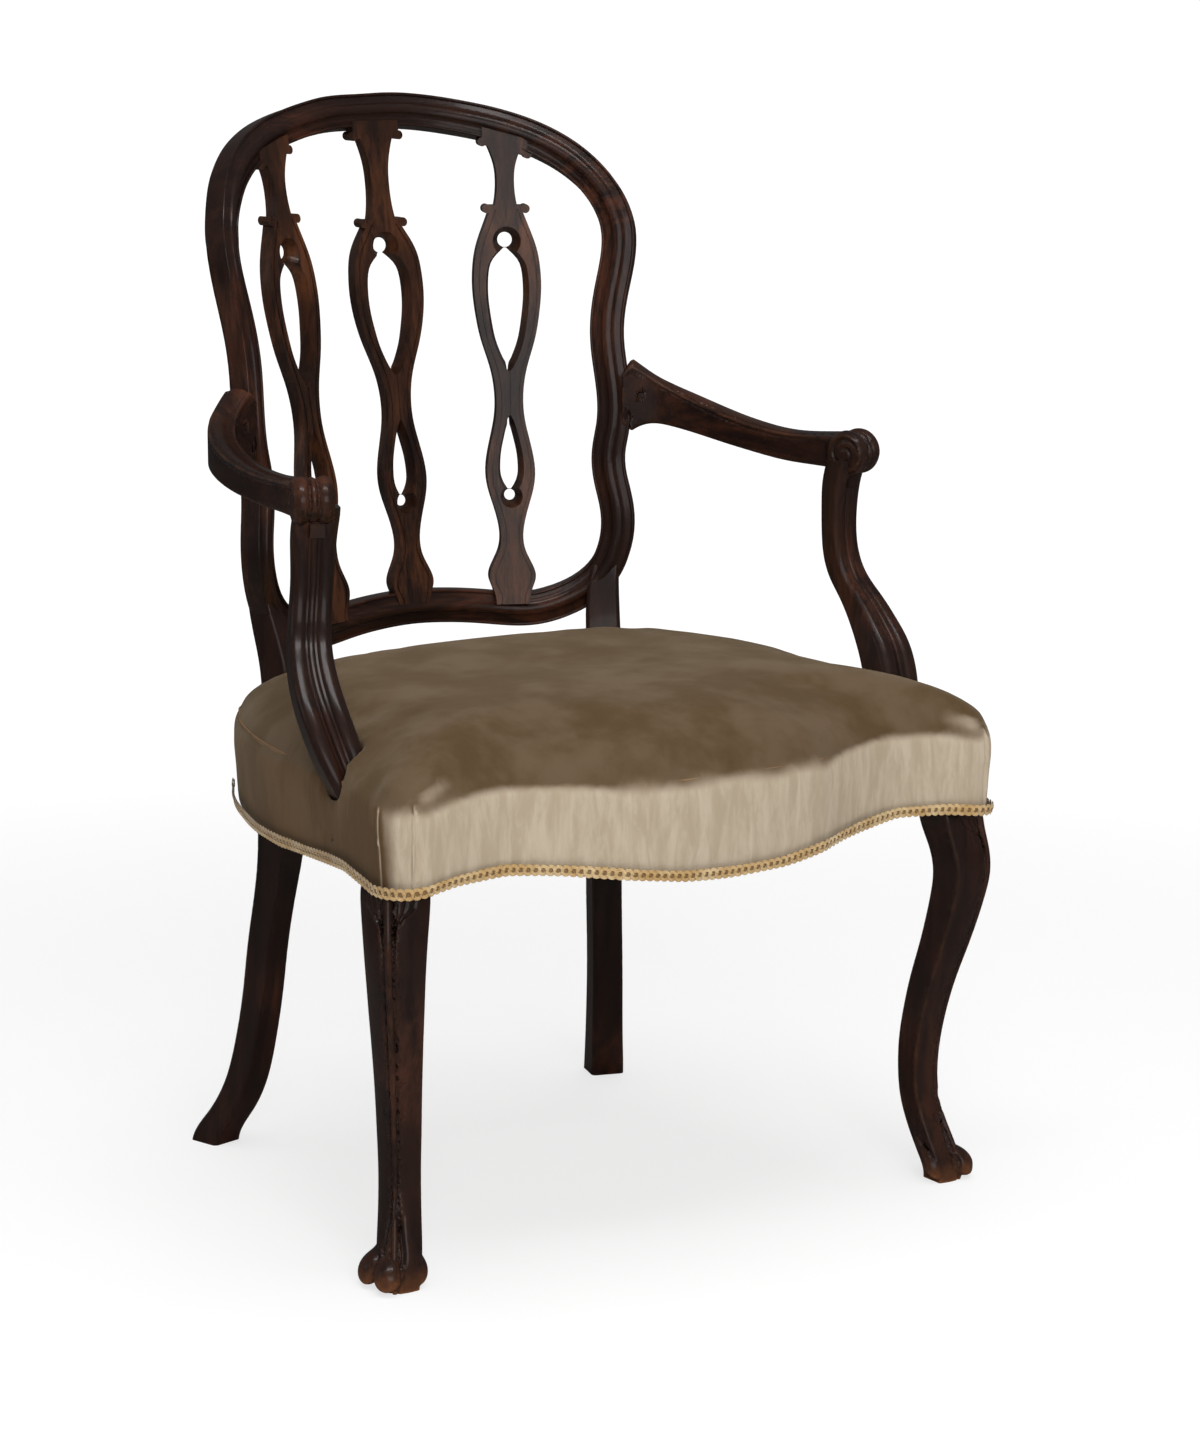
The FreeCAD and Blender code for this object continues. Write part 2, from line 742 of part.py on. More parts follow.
# Crown of the seat: (height share between the skirt and the crown, plan scale)
crown_shares = [
    (0.00, 0.990), (0.40, 0.996), (0.60, 0.998), (0.705, 0.988), (0.79, 0.966), (0.852, 0.935),
    (0.902, 0.89), (0.943, 0.80), (0.973, 0.66), (0.991, 0.48), (0.999, 0.25), (1.00, 0.08)]


def seat_dome(inset, low=None):
    """Crowned seat body, shrunk all round by inset."""
    floor = skirt_low if low is None else low
    shrink = 1 - inset / seat_half_depth
    wires = []
    for share, scale in crown_shares:
        height = skirt_low + (seat_crown_height - skirt_low) * share - inset
        if share == 0:
            height = floor
        if height >= floor:
            wires.append(seat_wire(scale * shrink, height))
    return loft(wires)


# Wavy lower edge: (place share, drop share of the dip), across the front and along the side
front_wave_shares = [
    (-1.10, 0.25), (-1.00, 0.25), (-0.92, 0.14), (-0.80, -0.08), (-0.64, -0.18), (-0.48, 0.06),
    (-0.32, 0.36), (-0.16, 0.68), (0.00, 0.78), (0.16, 0.68), (0.32, 0.36), (0.48, 0.06),
    (0.64, -0.18), (0.80, -0.08), (0.92, 0.14), (1.00, 0.25), (1.10, 0.25)]
side_wave_shares = [
    (-0.74, 0.25), (-0.62, 0.02), (-0.49, -0.16), (-0.33, -0.02), (-0.17, 0.14), (0.06, 0.30),
    (0.30, 0.28), (0.54, 0.13), (0.81, 0.00), (1.02, 0.00), (1.15, 0.00)]


def below_lower_edge(lift):
    """Everything under the seat's wavy lower edge, moved up by lift."""
    base = skirt_low - overrun
    reach = 1.1 * seat_half_width
    front_y = seat_middle_y - 1.2 * seat_half_depth
    split_y = seat_middle_y + side_wave_shares[0][0] * seat_half_depth
    line = [V(share * seat_half_width, front_y, lower_edge - drop * lower_edge_dip + lift)
            for share, drop in front_wave_shares]
    low = [V(line[-1].x, front_y, base), V(line[0].x, front_y, base)]
    edges = [smooth_edge(line), Part.makeLine(line[-1], low[0]), Part.makeLine(low[0], low[1]),
             Part.makeLine(low[1], line[0])]
    front = Part.Face(Part.Wire(edges)).extrude(V(0, split_y - front_y, 0))
    line = [V(-reach, seat_middle_y + share * seat_half_depth,
              lower_edge - drop * lower_edge_dip + lift) for share, drop in side_wave_shares]
    low = [V(-reach, line[-1].y, base), V(-reach, line[0].y, base)]
    edges = [smooth_edge(line), Part.makeLine(line[-1], low[0]), Part.makeLine(low[0], low[1]),
             Part.makeLine(low[1], line[0])]
    sides = Part.Face(Part.Wire(edges)).extrude(V(2 * reach, 0, 0))
    return front, sides


def cut_below(shape, lift):
    return shape.cut(list(below_lower_edge(lift)))


def rear_leg_loft(grow):
    wires = []
    for centre, turn, width, depth in rear_leg_stations():
        wires.append(plain_section(centre, turn, width + 2 * grow, depth + 2 * grow))
    return loft(wires)


def plan_prism(points, low, high):
    """Upright prism of a polygon of (x, y) places."""
    corners = [V(x, y, low) for x, y in points]
    return Part.Face(Part.makePolygon(corners + [corners[0]])).extrude(V(0, 0, high - low))


block_inner_x = front_block_x - front_block_size / 2
block_inner_y = front_block_y + front_block_size / 2
rail_middle = (lower_edge + seat_rail_top) / 2 + rail_lower_gap
side_rail_slope = (side_rail_rear_x - side_rail_front_x) / (side_rail_rear_y - block_inner_y)


def rail_ring():
    """The seat's plan, inset for the cover, as tall as the rails."""
    scale = 1 - rail_inset / seat_half_depth
    face = Part.Face(seat_wire(scale, skirt_low))
    return face.extrude(V(0, 0, seat_rail_top - skirt_low))


def side_rail_inner_x(y):
    return side_rail_front_x + side_rail_slope * (y - block_inner_y)


def front_rail_tenon(grown):
    make = grown_box if grown else box_at
    start = V(block_inner_x - rail_tenon_length, (rail_inner_y + front_block_y - front_block_size / 2) / 2,
              rail_middle)
    return make(start, V(1, 0, 0), V(0, 1, 0), V(0, 0, 1), 2 * rail_tenon_length,
                rail_tenon_thickness, rail_tenon_height)


def side_rail_tenons(grown):
    make = grown_box if grown else box_at
    along = V(side_rail_slope, 1, 0)
    front = V(side_rail_front_x + rail_tenon_thickness, block_inner_y + rail_tenon_length, rail_middle)
    rear = V(rear_leg_top_x, rear_leg_top_y, rail_middle) - unit(along) * rear_leg_depth
    rear.x += rail_tenon_thickness * 0.3
    first = make(front, along * -1, V(1, 0, 0), V(0, 0, 1), 2 * rail_tenon_length,
                 rail_tenon_thickness, rail_tenon_height)
    second = make(rear, along, V(1, 0, 0), V(0, 0, 1), rear_leg_depth * 0.80,
                  rail_tenon_thickness, rail_tenon_height)
    return first, second


def back_rail_tenon(grown):
    make = grown_box if grown else box_at
    start = V(rear_leg_top_x - rear_leg_width, (back_rail_front + back_rail_rear) / 2, rail_middle)
    return make(start, V(1, 0, 0), V(0, 1, 0), V(0, 0, 1), rear_leg_width * 0.78,
                rail_tenon_thickness * 0.8, rail_tenon_height * 0.8)


def make_front_rail(ring):
    bounds = plan_prism([(-block_inner_x, -2 * seat_half_depth), (block_inner_x, -2 * seat_half_depth),
                         (block_inner_x, rail_inner_y), (-block_inner_x, rail_inner_y)],
                        skirt_low - overrun, seat_rail_top + overrun)
    shape = cut_below(ring.common(bounds), rail_lower_gap)
    tenon = front_rail_tenon(False)
    return shape.fuse([tenon, mirrored(tenon)])


def make_side_rail(ring, rear_leg, support):
    far = 2 * seat_half_width
    bounds = plan_prism([(side_rail_front_x, block_inner_y), (far, block_inner_y),
                         (far, rear_leg_top_y), (rear_leg_top_x, rear_leg_top_y),
                         (side_rail_rear_x, side_rail_rear_y)],
                        skirt_low - overrun, seat_rail_top + overrun)
    shape = cut_below(ring.common(bounds), rail_lower_gap)
    shape = shape.cut([rear_leg, support])
    shape = largest(shape)
    return shape.fuse(list(side_rail_tenons(False)))


def make_back_rail(ring, rear_leg):
    bounds = plan_prism([(-rear_leg_top_x, back_rail_front), (rear_leg_top_x, back_rail_front),
                         (rear_leg_top_x, back_rail_rear), (-rear_leg_top_x, back_rail_rear)],
                        skirt_low - overrun, seat_rail_top + overrun)
    shape = cut_below(ring.common(bounds), rail_lower_gap)
    shape = shape.cut([rear_leg, mirrored(rear_leg)])
    shape = largest(shape)
    tenon = back_rail_tenon(False)
    return shape.fuse([tenon, mirrored(tenon)])


def make_front_corner_block():
    side_y = block_inner_y + block_leg
    points = [(block_inner_x - block_leg, rail_inner_y), (block_inner_x, rail_inner_y),
              (block_inner_x, block_inner_y), (side_rail_front_x, block_inner_y),
              (side_rail_inner_x(side_y), side_y)]
    return plan_prism(points, rail_middle - block_thickness / 2, rail_middle + block_thickness / 2)


def make_rear_corner_block(rear_leg, side_rail):
    side_y = side_rail_rear_y - rear_block_leg * 0.8
    points = [(side_rail_rear_x - rear_block_leg, back_rail_front), (side_rail_rear_x, back_rail_front),
              (side_rail_rear_x, side_rail_rear_y), (side_rail_inner_x(side_y), side_y)]
    shape = plan_prism(points, rail_middle - block_thickness / 2, rail_middle + block_thickness / 2)
    shape = shape.cut([rear_leg, side_rail])
    return largest(shape)


# Arm: (share from the stile to the scroll, sideways share, height share, width share, depth share)
arm_shares = [
    (0.000, 0.00, 1.00, 0.95, 1.00), (0.058, 0.36, 0.84, 0.98, 0.66), (0.150, 0.57, 0.56, 0.98, 0.34),
    (0.260, 0.70, 0.32, 0.98, 0.16), (0.380, 0.78, 0.13, 0.98, 0.05), (0.500, 0.825, 0.01, 1.00, 0.00),
    (0.620, 0.85, -0.06, 1.04, 0.00), (0.740, 0.875, -0.07, 1.12, 0.04), (0.860, 0.92, -0.02, 1.24, 0.12),
    (1.000, 1.00, 0.04, 1.36, 0.24)]


def arm_root():
    """Middle of the stile's outer side at the arm's height, and the outward direction."""
    parameter = hoop_curve.parameter(V(hoop_half_girth * 0.912, arm_joint_height, 0))
    origin, outward, front, travel = hoop_station(parameter)
    root = origin + outward * (hoop_width / 2) - front * (hoop_depth / 2)
    return root, outward, front


def arm_section(centre, across, width, depth):
    """Ten edge section: moulded top edges, slightly rounded sides."""
    w = width / 2
    d = depth / 2
    step = 0.16 * width

    def place(a, b):
        return centre + across * a + V(0, 0, b)

    points = [place(-w + 0.6 * step, -d), place(w - 0.6 * step, -d), place(w, -d + 0.6 * step),
              place(w, d - 1.3 * step), place(w - 0.9 * step, d - 0.25 * step),
              place(w - 1.4 * step, d), place(-w + 1.4 * step, d),
              place(-w + 0.9 * step, d - 0.25 * step), place(-w, d - 1.3 * step),
              place(-w, -d + 0.6 * step)]
    bulges = [None, place(w - 0.18 * step, -d + 0.18 * step), None,
              place(w - 0.1 * step, d - 0.45 * step), None, place(0, d + 0.3 * step), None,
              place(-w + 0.1 * step, d - 0.45 * step), None,
              place(-w + 0.18 * step, -d + 0.18 * step)]
    return wire_of(points, bulges)


def arm_places():
    root, outward, front = arm_root()
    end = V(scroll_x, scroll_y, arm_height)
    places = []
    for share, side_share, lift, wide, deep in arm_shares:
        x = root.x + (end.x - root.x) * side_share
        y = root.y + (end.y - root.y) * share
        z = arm_height + (arm_joint_height - arm_height) * lift
        places.append((V(x, y, z), arm_width * wide, arm_depth + (arm_joint_depth - arm_depth) * deep))
    return places


def arm_roll():
    """The rolled-over end of the arm: two broad reeds with a bead between them."""
    r = scroll_radius
    w = scroll_half_width
    turn = math.radians(scroll_turn)
    axis = V(math.cos(turn), math.sin(turn), 0)
    centre = V(scroll_x, scroll_y, arm_height)

    def place(a, b):
        return V(a * w, 0, b * r)

    profile = [(-1.0, 0.0), (-1.0, 0.86), (-0.86, 0.94), (-0.24, 0.92), (-0.17, 0.90), (0.17, 0.90),
               (0.24, 0.92), (0.86, 0.94), (1.0, 0.86), (1.0, 0.0)]
    bulge = [None, None, (-0.55, 1.04), None, (0.0, 1.00), None, (0.55, 1.04), None, None]
    edges = []
    for i, middle in enumerate(bulge):
        start = place(*profile[i])
        finish = place(*profile[i + 1])
        if middle is None:
            edges.append(Part.makeLine(start, finish))
        else:
            edges.append(Part.Arc(start, place(*middle), finish).toShape())
    edges.append(Part.makeLine(place(1.0, 0.0), place(-1.0, 0.0)))
    solid = Part.Face(Part.Wire(edges)).revolve(V(0, 0, 0), V(1, 0, 0), 360)
    solid.rotate(V(0, 0, 0), V(0, 0, 1), scroll_turn)
    solid.translate(centre)
    return solid


def make_arm(stile):
    root, outward, front = arm_root()
    places = arm_places()
    wires = []
    for i, (centre, width, depth) in enumerate(places):
        before = places[max(i - 1, 0)][0]
        after = places[min(i + 1, len(places) - 1)][0]
        travel = unit(V(after.x - before.x, after.y - before.y, 0))
        if i == 0:
            travel = unit(V(outward.x, outward.y, 0))
        across = V(-travel.y, travel.x, 0)
        if i == 0:
            centre = centre - outward * (hoop_depth * 0.3)
        wires.append(arm_section(centre, across, width, depth))
    shape = loft(wires).fuse(arm_roll())
    shape = shape.cut(stile)
    return largest(shape)


def arm_joint_tenon(grown):
    root, outward, front = arm_root()
    make = grown_box if grown else box_at
    start = root - outward * (hoop_width * 0.45)
    return make(start, outward, V(0, 0, 1), front, arm_tenon_length * 2, arm_tenon_width,
                arm_tenon_thickness)


def arm_plug(grown):
    """Wooden plug in the arm's inner face, over the joint's screw."""
    root, outward, front = arm_root()
    radius = plug_radius + (screw_gap if grown else 0)
    start = root + outward * plug_reach + front * (2 * plug_depth)
    deep = front * -1
    return Part.makeCylinder(radius, 2 * plug_depth, start, deep)


# Arm support: (height share from foot to scroll, x offset, y offset, width share, depth share, turn)
support_shares = [
    (0.000, 0.10, -1.18, 0.62, 1.05, 6), (0.110, 0.16, -1.15, 0.76, 1.20, 8),
    (0.190, 0.36, -1.07, 0.98, 1.36, 10), (0.250, 0.49, -0.96, 1.08, 1.42, 11),
    (0.320, 0.60, -0.80, 1.12, 1.42, 12), (0.395, 0.65, -0.58, 1.10, 1.40, 14),
    (0.465, 0.60, -0.34, 1.06, 1.22, 16), (0.535, 0.46, -0.10, 1.00, 1.05, 18),
    (0.605, 0.24, 0.11, 0.96, 0.90, 20), (0.680, 0.08, 0.20, 0.94, 0.82, 21),
    (0.760, 0.00, 0.21, 0.94, 0.78, 21), (0.850, -0.02, 0.19, 0.98, 0.80, 21),
    (0.930, -0.02, 0.13, 1.02, 0.88, 21), (1.000, 0.00, 0.02, 1.00, 0.95, 21)]
support_line_x = 274.5
support_line_y = -69.0
support_sway_x = 27.0
support_sway_y = 56.0


def support_section(centre, turn, width, depth):
    """Front of two broad reeds with a bead between them, plain back."""
    angle = math.radians(turn)
    across = V(math.cos(angle), math.sin(angle), 0)
    front = V(math.sin(angle), -math.cos(angle), 0)
    w = width / 2
    d = depth / 2

    def place(a, b):
        return centre + across * (a * w) + front * (b * d)

    points = [place(-1.0, 0.55), place(-0.26, 0.86), place(-0.17, 0.84), place(0.17, 0.84),
              place(0.26, 0.86), place(1.0, 0.55), place(1.0, -0.72), place(0.74, -1.0),
              place(-0.74, -1.0), place(-1.0, -0.72)]
    bulges = [place(-0.68, 1.06), None, place(0.0, 1.02), None, place(0.68, 1.06), None,
              place(0.93, -0.93), None, place(-0.93, -0.93), None]
    return wire_of(points, bulges)


def support_loft(grow):
    wires = []
    top = arm_height - scroll_radius * 0.3
    for share, x_share, y_share, wide, deep, turn in support_shares:
        centre = V(support_line_x + support_sway_x * x_share, support_line_y + support_sway_y * y_share,
                   support_foot_height + (top - support_foot_height) * share)
        wires.append(support_section(centre, turn, support_width * wide + 2 * grow,
                                     support_depth * deep + 2 * grow))
    return loft(wires)


def support_tenon(grown):
    make = grown_box if grown else box_at
    turn = math.radians(scroll_turn)
    across = V(math.cos(turn), math.sin(turn), 0)
    front = V(math.sin(turn), -math.cos(turn), 0)
    start = V(scroll_x - support_sway_x * 0.2, scroll_y + support_sway_y * 0.04,
              arm_height - scroll_radius * 1.6)
    return make(start, V(0, 0, 1), across, front, support_tenon_length + scroll_radius * 0.8,
                support_tenon_size, support_tenon_size)


def make_support(arm):
    shape = support_loft(0).cut(arm)
    shape = largest(shape)
    return shape.fuse(support_tenon(False))


# Seat suspension, soft goods and fastenings


def clear_corner():
    """Space behind and outside a rear leg that the seat's soft goods leave free."""
    half = rear_leg_width * 0.62
    low = V(rear_leg_top_x - half, rear_leg_top_y, skirt_low - overrun)
    box = Part.makeBox(4 * rear_leg_width, 2 * rear_leg_width, overall_height / 4, low)
    return rear_leg_loft(pad_clearance).fuse(box)


def soft_clearances():
    corner = clear_corner()
    support = support_loft(pad_clearance)
    return [corner, mirrored(corner), support, mirrored(support)]


def make_cover(clearances):
    shell = seat_dome(0).cut(seat_dome(cover_thickness, skirt_low - overrun))
    return largest(cut_below(shell, 0).cut(clearances))


def make_stuffing(clearances):
    floor = seat_rail_top + 2 * web_thickness + tack_head_height + hessian_thickness + pad_clearance
    body = seat_dome(cover_thickness + cover_gap)
    far = 2 * seat_half_width
    below = Part.makeBox(2 * far, 2 * far, floor, V(-far, -far, 0))
    return largest(body.cut([below] + clearances))


def make_hessian(clearances):
    height = seat_rail_top + 2 * web_thickness + tack_head_height
    scale = 1 - 3 * rail_inset / seat_half_depth
    sheet = Part.Face(seat_wire(scale, height)).extrude(V(0, 0, hessian_thickness))
    return largest(sheet.cut(clearances))


def gimp_band(clearances):
    outer = seat_dome(-gimp_gap - gimp_thickness, skirt_low - overrun)
    shell = outer.cut(seat_dome(-gimp_gap, skirt_low - 2 * overrun))
    front, sides = below_lower_edge(gimp_width - gimp_drop)
    drop = -gimp_drop
    band = cut_below(shell, drop).cut(clearances)
    return band.common(front), band.common(sides)


def web_lines():
    """Front and rear or left and right end of each web: (start, end) on the rails' tops."""
    pitch = seat_half_width * 2 / 7
    rear_y = back_rail_front + web_rail_cover
    front_y = rail_inner_y - web_rail_cover
    lengthwise = []
    for i in (-1.5, -0.5, 0.5, 1.5):
        lengthwise.append((V(i * pitch, front_y, seat_rail_top), V(i * pitch, rear_y, seat_rail_top)))
    crosswise = []
    for share in (-0.52, -0.18, 0.16, 0.50):
        y = seat_middle_y + share * seat_half_depth
        x = side_rail_inner_x(y) + web_rail_cover
        height = seat_rail_top + web_thickness
        crosswise.append((V(-x, y, height), V(x, y, height)))
    return lengthwise, crosswise


def make_web(line):
    start, end = line
    along = end - start
    across = unit(along.cross(V(0, 0, 1)))
    corner = start - across * (web_width / 2)
    face = polygon_face([corner, corner + along, corner + along + across * web_width,
                         corner + across * web_width])
    return face.extrude(V(0, 0, web_thickness))


def tack_places(line):
    start, end = line
    along = unit(end - start)
    across = unit(along.cross(V(0, 0, 1)))
    for point, way in ((start, 1), (end, -1)):
        for side in (-0.3, 0.3):
            yield point + along * (way * web_end_inset) + across * (side * web_width) + V(0, 0, web_thickness)


def tack(place, grown):
    gap = tack_gap if grown else 0
    head = Part.makeCylinder(tack_head_radius, tack_head_height, place)
    shank = Part.makeCylinder(tack_radius + gap, tack_length + gap, place, V(0, 0, -1))
    return shank if grown else head.fuse(shank)


def screw(place, grown):
    """Countersunk screw: (start, direction, length); grown gives its hole."""
    start, way, length = place
    way = unit(way)
    gap = screw_gap if grown else 0
    back = overrun if grown else 0
    head = Part.makeCylinder(screw_head_radius + gap, screw_head_height + back, start - way * back, way)
    shank = Part.makeCylinder(screw_radius + gap, length + gap, start, way)
    return head.fuse(shank)


def support_screw_places():
    y = support_line_y + support_sway_y * support_shares[0][2]
    places = []
    for lift in (0.5, 1.35):
        x = side_rail_inner_x(y)
        places.append((V(x, y, support_foot_height + lift * screw_spacing), V(1, 0, 0),
                       support_screw_length))
    return places


def front_block_screw_places():
    x = block_inner_x - 0.6 * block_leg
    side_y = block_inner_y + block_leg
    side_x = side_rail_inner_x(side_y)
    rise = (side_y - rail_inner_y) / (side_x - block_inner_x + block_leg)
    y = rail_inner_y + (x - block_inner_x + block_leg) * rise
    second_y = block_inner_y + 0.58 * block_leg
    second_x = block_inner_x - block_leg + (second_y - rail_inner_y) / rise
    return [(V(x, y, rail_middle), V(0, -1, 0), block_screw_length),
            (V(second_x, second_y, rail_middle), V(1, 0, 0), block_screw_length)]


def rear_block_screw_places():
    side_y = side_rail_rear_y - rear_block_leg * 0.8
    side_x = side_rail_inner_x(side_y)
    corner_x = side_rail_rear_x - rear_block_leg
    rise = (side_y - back_rail_front) / (side_x - corner_x)
    x = corner_x + 0.38 * rear_block_leg
    y = back_rail_front + (x - corner_x) * rise
    second_y = side_y + 0.42 * rear_block_leg
    second_x = corner_x + (second_y - back_rail_front) / rise
    return [(V(x, y, rail_middle), V(0, 1, 0), block_screw_length * 0.8),
            (V(second_x, second_y, rail_middle), V(1, 0, 0), block_screw_length)]


def drilled(shape, places):
    return shape.cut([screw(place, True) for place in places])


def group(shapes):
    return Part.makeCompound(shapes)


def both_sides(shapes):
    return shapes + [mirrored(shape) for shape in shapes]


def build():
    raw_leg = make_rear_leg()
    raw_arm = make_arm(raw_leg)
    raw_support = largest(support_loft(0).cut(raw_arm))
    plug = arm_plug(False).common(raw_arm)
    ring = rail_ring()
    side_rail = make_side_rail(ring, raw_leg, raw_support)
    back_rail = make_back_rail(ring, raw_leg)
    rear_block = make_rear_corner_block(raw_leg, side_rail)
    support_screws = support_screw_places()
    front_screws = front_block_screw_places()
    rear_screws = rear_block_screw_places()
    front_tenon, rear_tenon = side_rail_tenons(True)

    save_pair(raw_leg.cut([arm_joint_tenon(True), rear_tenon, back_rail_tenon(True)]), "rear_leg")
    arm = raw_arm.fuse(arm_joint_tenon(False)).cut([support_tenon(True), arm_plug(True)])
    save_pair(arm, "arm")
    save_pair(plug, "arm_plug")
    save_pair(drilled(raw_support.fuse(support_tenon(False)), support_screws), "arm_support")
    save_pair(make_front_leg().cut([front_rail_tenon(True), front_tenon]), "front_leg")
    places = support_screws + front_screws + rear_screws
    lengthwise, crosswise = web_lines()
    long_tacks = [place for line in lengthwise for place in tack_places(line)]
    cross_tacks = [place for line in crosswise for place in tack_places(line)]
    holes = [tack(place, True) for place in long_tacks + cross_tacks]
    high_side_rail = side_rail.fuse(raised_side_top(side_rail))
    save_pair(drilled(high_side_rail, places).cut(holes), "side_rail")
    front_rail = make_front_rail(ring)
    mirrored_screws = [mirrored(screw(place, True)) for place in places]
    save(drilled(front_rail, front_screws).cut(mirrored_screws + holes), "front_rail")
    save(drilled(back_rail, rear_screws).cut(mirrored_screws + holes), "back_rail")
    save_pair(drilled(make_front_corner_block(), front_screws), "front_corner_block")
    save_pair(drilled(rear_block, rear_screws), "rear_corner_block")
    save(group(both_sides([screw(place, False) for place in places])), "screws")
    for number, line in enumerate(lengthwise):
        web = make_web(line).cut([tack(place, True) for place in tack_places(line)])
        save(web, "web_front_to_back_" + str(number + 1))
    for number, line in enumerate(crosswise):
        web = make_web(line).cut([tack(place, True) for place in tack_places(line)])
        save(web, "web_side_to_side_" + str(number + 1))
    save(group([tack(place, False) for place in long_tacks + cross_tacks]), "tacks")

    clearances = soft_clearances()
    save(make_hessian(clearances), "hessian")
    save(make_stuffing(clearances), "stuffing")
    save(make_cover(clearances), "seat_cover")
    front_gimp, side_gimp = gimp_band(clearances)
    save(largest(front_gimp), "gimp_front")
    right = [solid for solid in side_gimp.Solids if solid.BoundBox.XMin > 0]
    save_pair(largest(group(right)), "gimp_side")
    middle = [solid for solid in side_gimp.Solids if solid.BoundBox.XMin < 0 < solid.BoundBox.XMax]
    save(largest(group(middle)), "gimp_back")

    outer_place = (outer_splat_foot_x, outer_splat_head_x, outer_splat_turn)
    centre_place = (0, 0, 0)
    crest = make_crest_rail()
    rail = make_lower_back_rail()
    centre_tenons = splat_tenons(centre_style, centre_place, True)
    outer_tenons = splat_tenons(outer_style, outer_place, True)
    heads = [centre_tenons[0], outer_tenons[0], mirrored(outer_tenons[0])]
    feet = [centre_tenons[1], outer_tenons[1], mirrored(outer_tenons[1])]
    save(crest.cut(heads), "crest_rail")
    save(rail.cut(feet), "lower_back_rail")
    save(make_splat(crest, rail, centre_style, centre_place), "splat_centre")
    save_pair(make_splat(crest, rail, outer_style, outer_place), "splat")


def raised_side_top(side_rail):
    """Strip on the side rail that brings its top level with the webs that cross it."""
    low = V(0, -2 * seat_half_depth, seat_rail_top - overrun / 10)
    slice_box = Part.makeBox(2 * seat_half_width, 4 * seat_half_depth, overrun, low)
    top = side_rail.common(slice_box)
    top.translate(V(0, 0, web_thickness))
    return top


build()
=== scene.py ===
import math
import bpy
import numpy as np
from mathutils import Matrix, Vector
from mathutils.bvhtree import BVHTree


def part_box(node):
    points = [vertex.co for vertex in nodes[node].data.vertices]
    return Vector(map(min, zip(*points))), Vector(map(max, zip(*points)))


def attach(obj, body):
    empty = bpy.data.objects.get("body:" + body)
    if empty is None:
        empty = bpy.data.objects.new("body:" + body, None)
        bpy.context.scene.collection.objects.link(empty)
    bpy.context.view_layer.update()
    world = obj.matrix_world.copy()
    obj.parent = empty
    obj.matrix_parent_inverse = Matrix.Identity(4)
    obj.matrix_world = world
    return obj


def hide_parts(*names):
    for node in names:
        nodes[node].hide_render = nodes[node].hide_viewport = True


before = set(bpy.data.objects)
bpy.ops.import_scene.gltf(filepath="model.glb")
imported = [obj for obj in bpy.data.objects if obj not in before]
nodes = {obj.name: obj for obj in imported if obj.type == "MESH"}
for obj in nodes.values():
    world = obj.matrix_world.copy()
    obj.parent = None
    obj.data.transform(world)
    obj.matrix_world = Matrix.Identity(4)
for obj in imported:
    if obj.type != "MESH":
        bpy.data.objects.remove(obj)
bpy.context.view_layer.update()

# Open armchair: dark mahogany show wood, a stuffed velvet seat and a looped braid along its edge
# All lengths are in metres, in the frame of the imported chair
SIDES = (("right", 1), ("left", -1))

# Seat, as the solids have it
seat_half_width = 0.3145
seat_half_depth = 0.2535
seat_middle_y = -0.0595
skirt_low = 0.300
crown_high = 0.476
lower_edge = 0.352
edge_dip = 0.019
side_share_at_front = -0.74

# Plan of the seat from the front's middle to the back's: arcs through three places, each of which
# starts where the last one ends
seat_outline = [
    (0.000, -1.000), (0.159, -0.998), (0.318, -0.965), (0.477, -0.882), (0.636, -0.834),
    (0.779, -0.851), (0.895, -0.881), (0.944, -0.868), (0.974, -0.822), (0.986, -0.775),
    (0.986, -0.730), (0.974, -0.586), (0.950, -0.389), (0.930, -0.191), (0.914, 0.006),
    (0.894, 0.243), (0.846, 0.491), (0.797, 0.668), (0.738, 0.807), (0.689, 0.905),
    (0.604, 0.965), (0.302, 0.994), (0.000, 1.000)]
# How far up the crown each ring lies, and its size as a share of the plan
crown_rings = [
    (0.05, 0.9905), (0.295, 0.9945), (0.40, 0.996), (0.60, 1.002), (0.705, 0.998), (0.79, 0.977),
    (0.852, 0.940), (0.902, 0.89), (0.943, 0.80), (0.973, 0.66), (0.991, 0.48), (0.999, 0.25),
    (1.00, 0.08)]
# How much of the dip the lower edge takes, along the front and along a side
front_wave = [
    (-1.10, 0.25), (-1.00, 0.25), (-0.92, 0.14), (-0.80, -0.08), (-0.64, -0.18), (-0.48, 0.06),
    (-0.32, 0.36), (-0.16, 0.68), (0.00, 0.78), (0.16, 0.68), (0.32, 0.36), (0.48, 0.06),
    (0.64, -0.18), (0.80, -0.08), (0.92, 0.14), (1.00, 0.25), (1.10, 0.25)]
side_wave = [
    (-0.74, 0.25), (-0.62, 0.02), (-0.49, -0.16), (-0.33, -0.02), (-0.17, 0.14), (0.06, 0.30),
    (0.30, 0.28), (0.54, 0.13), (0.81, 0.00), (1.02, 0.00), (1.15, 0.00)]


# Selecting, editing and finishing
def deselect_all():
    bpy.ops.object.select_all(action="DESELECT")


def take(piece):
    """Makes a piece the only selected one and the active one."""
    deselect_all()
    piece.select_set(True)
    bpy.context.view_layer.objects.active = piece
    return piece


def open_mesh(piece):
    take(piece)
    bpy.ops.object.mode_set(mode="EDIT")


def open_whole(piece):
    """Opens a mesh with all of it selected."""
    open_mesh(piece)
    bpy.ops.mesh.select_all(action="SELECT")


def close_mesh():
    bpy.ops.object.mode_set(mode="OBJECT")


def triples(items, field):
    """Three numbers of each point or face, one row each."""
    flat = np.empty(len(items) * 3)
    items.foreach_get(field, flat)
    return flat.reshape(-1, 3)


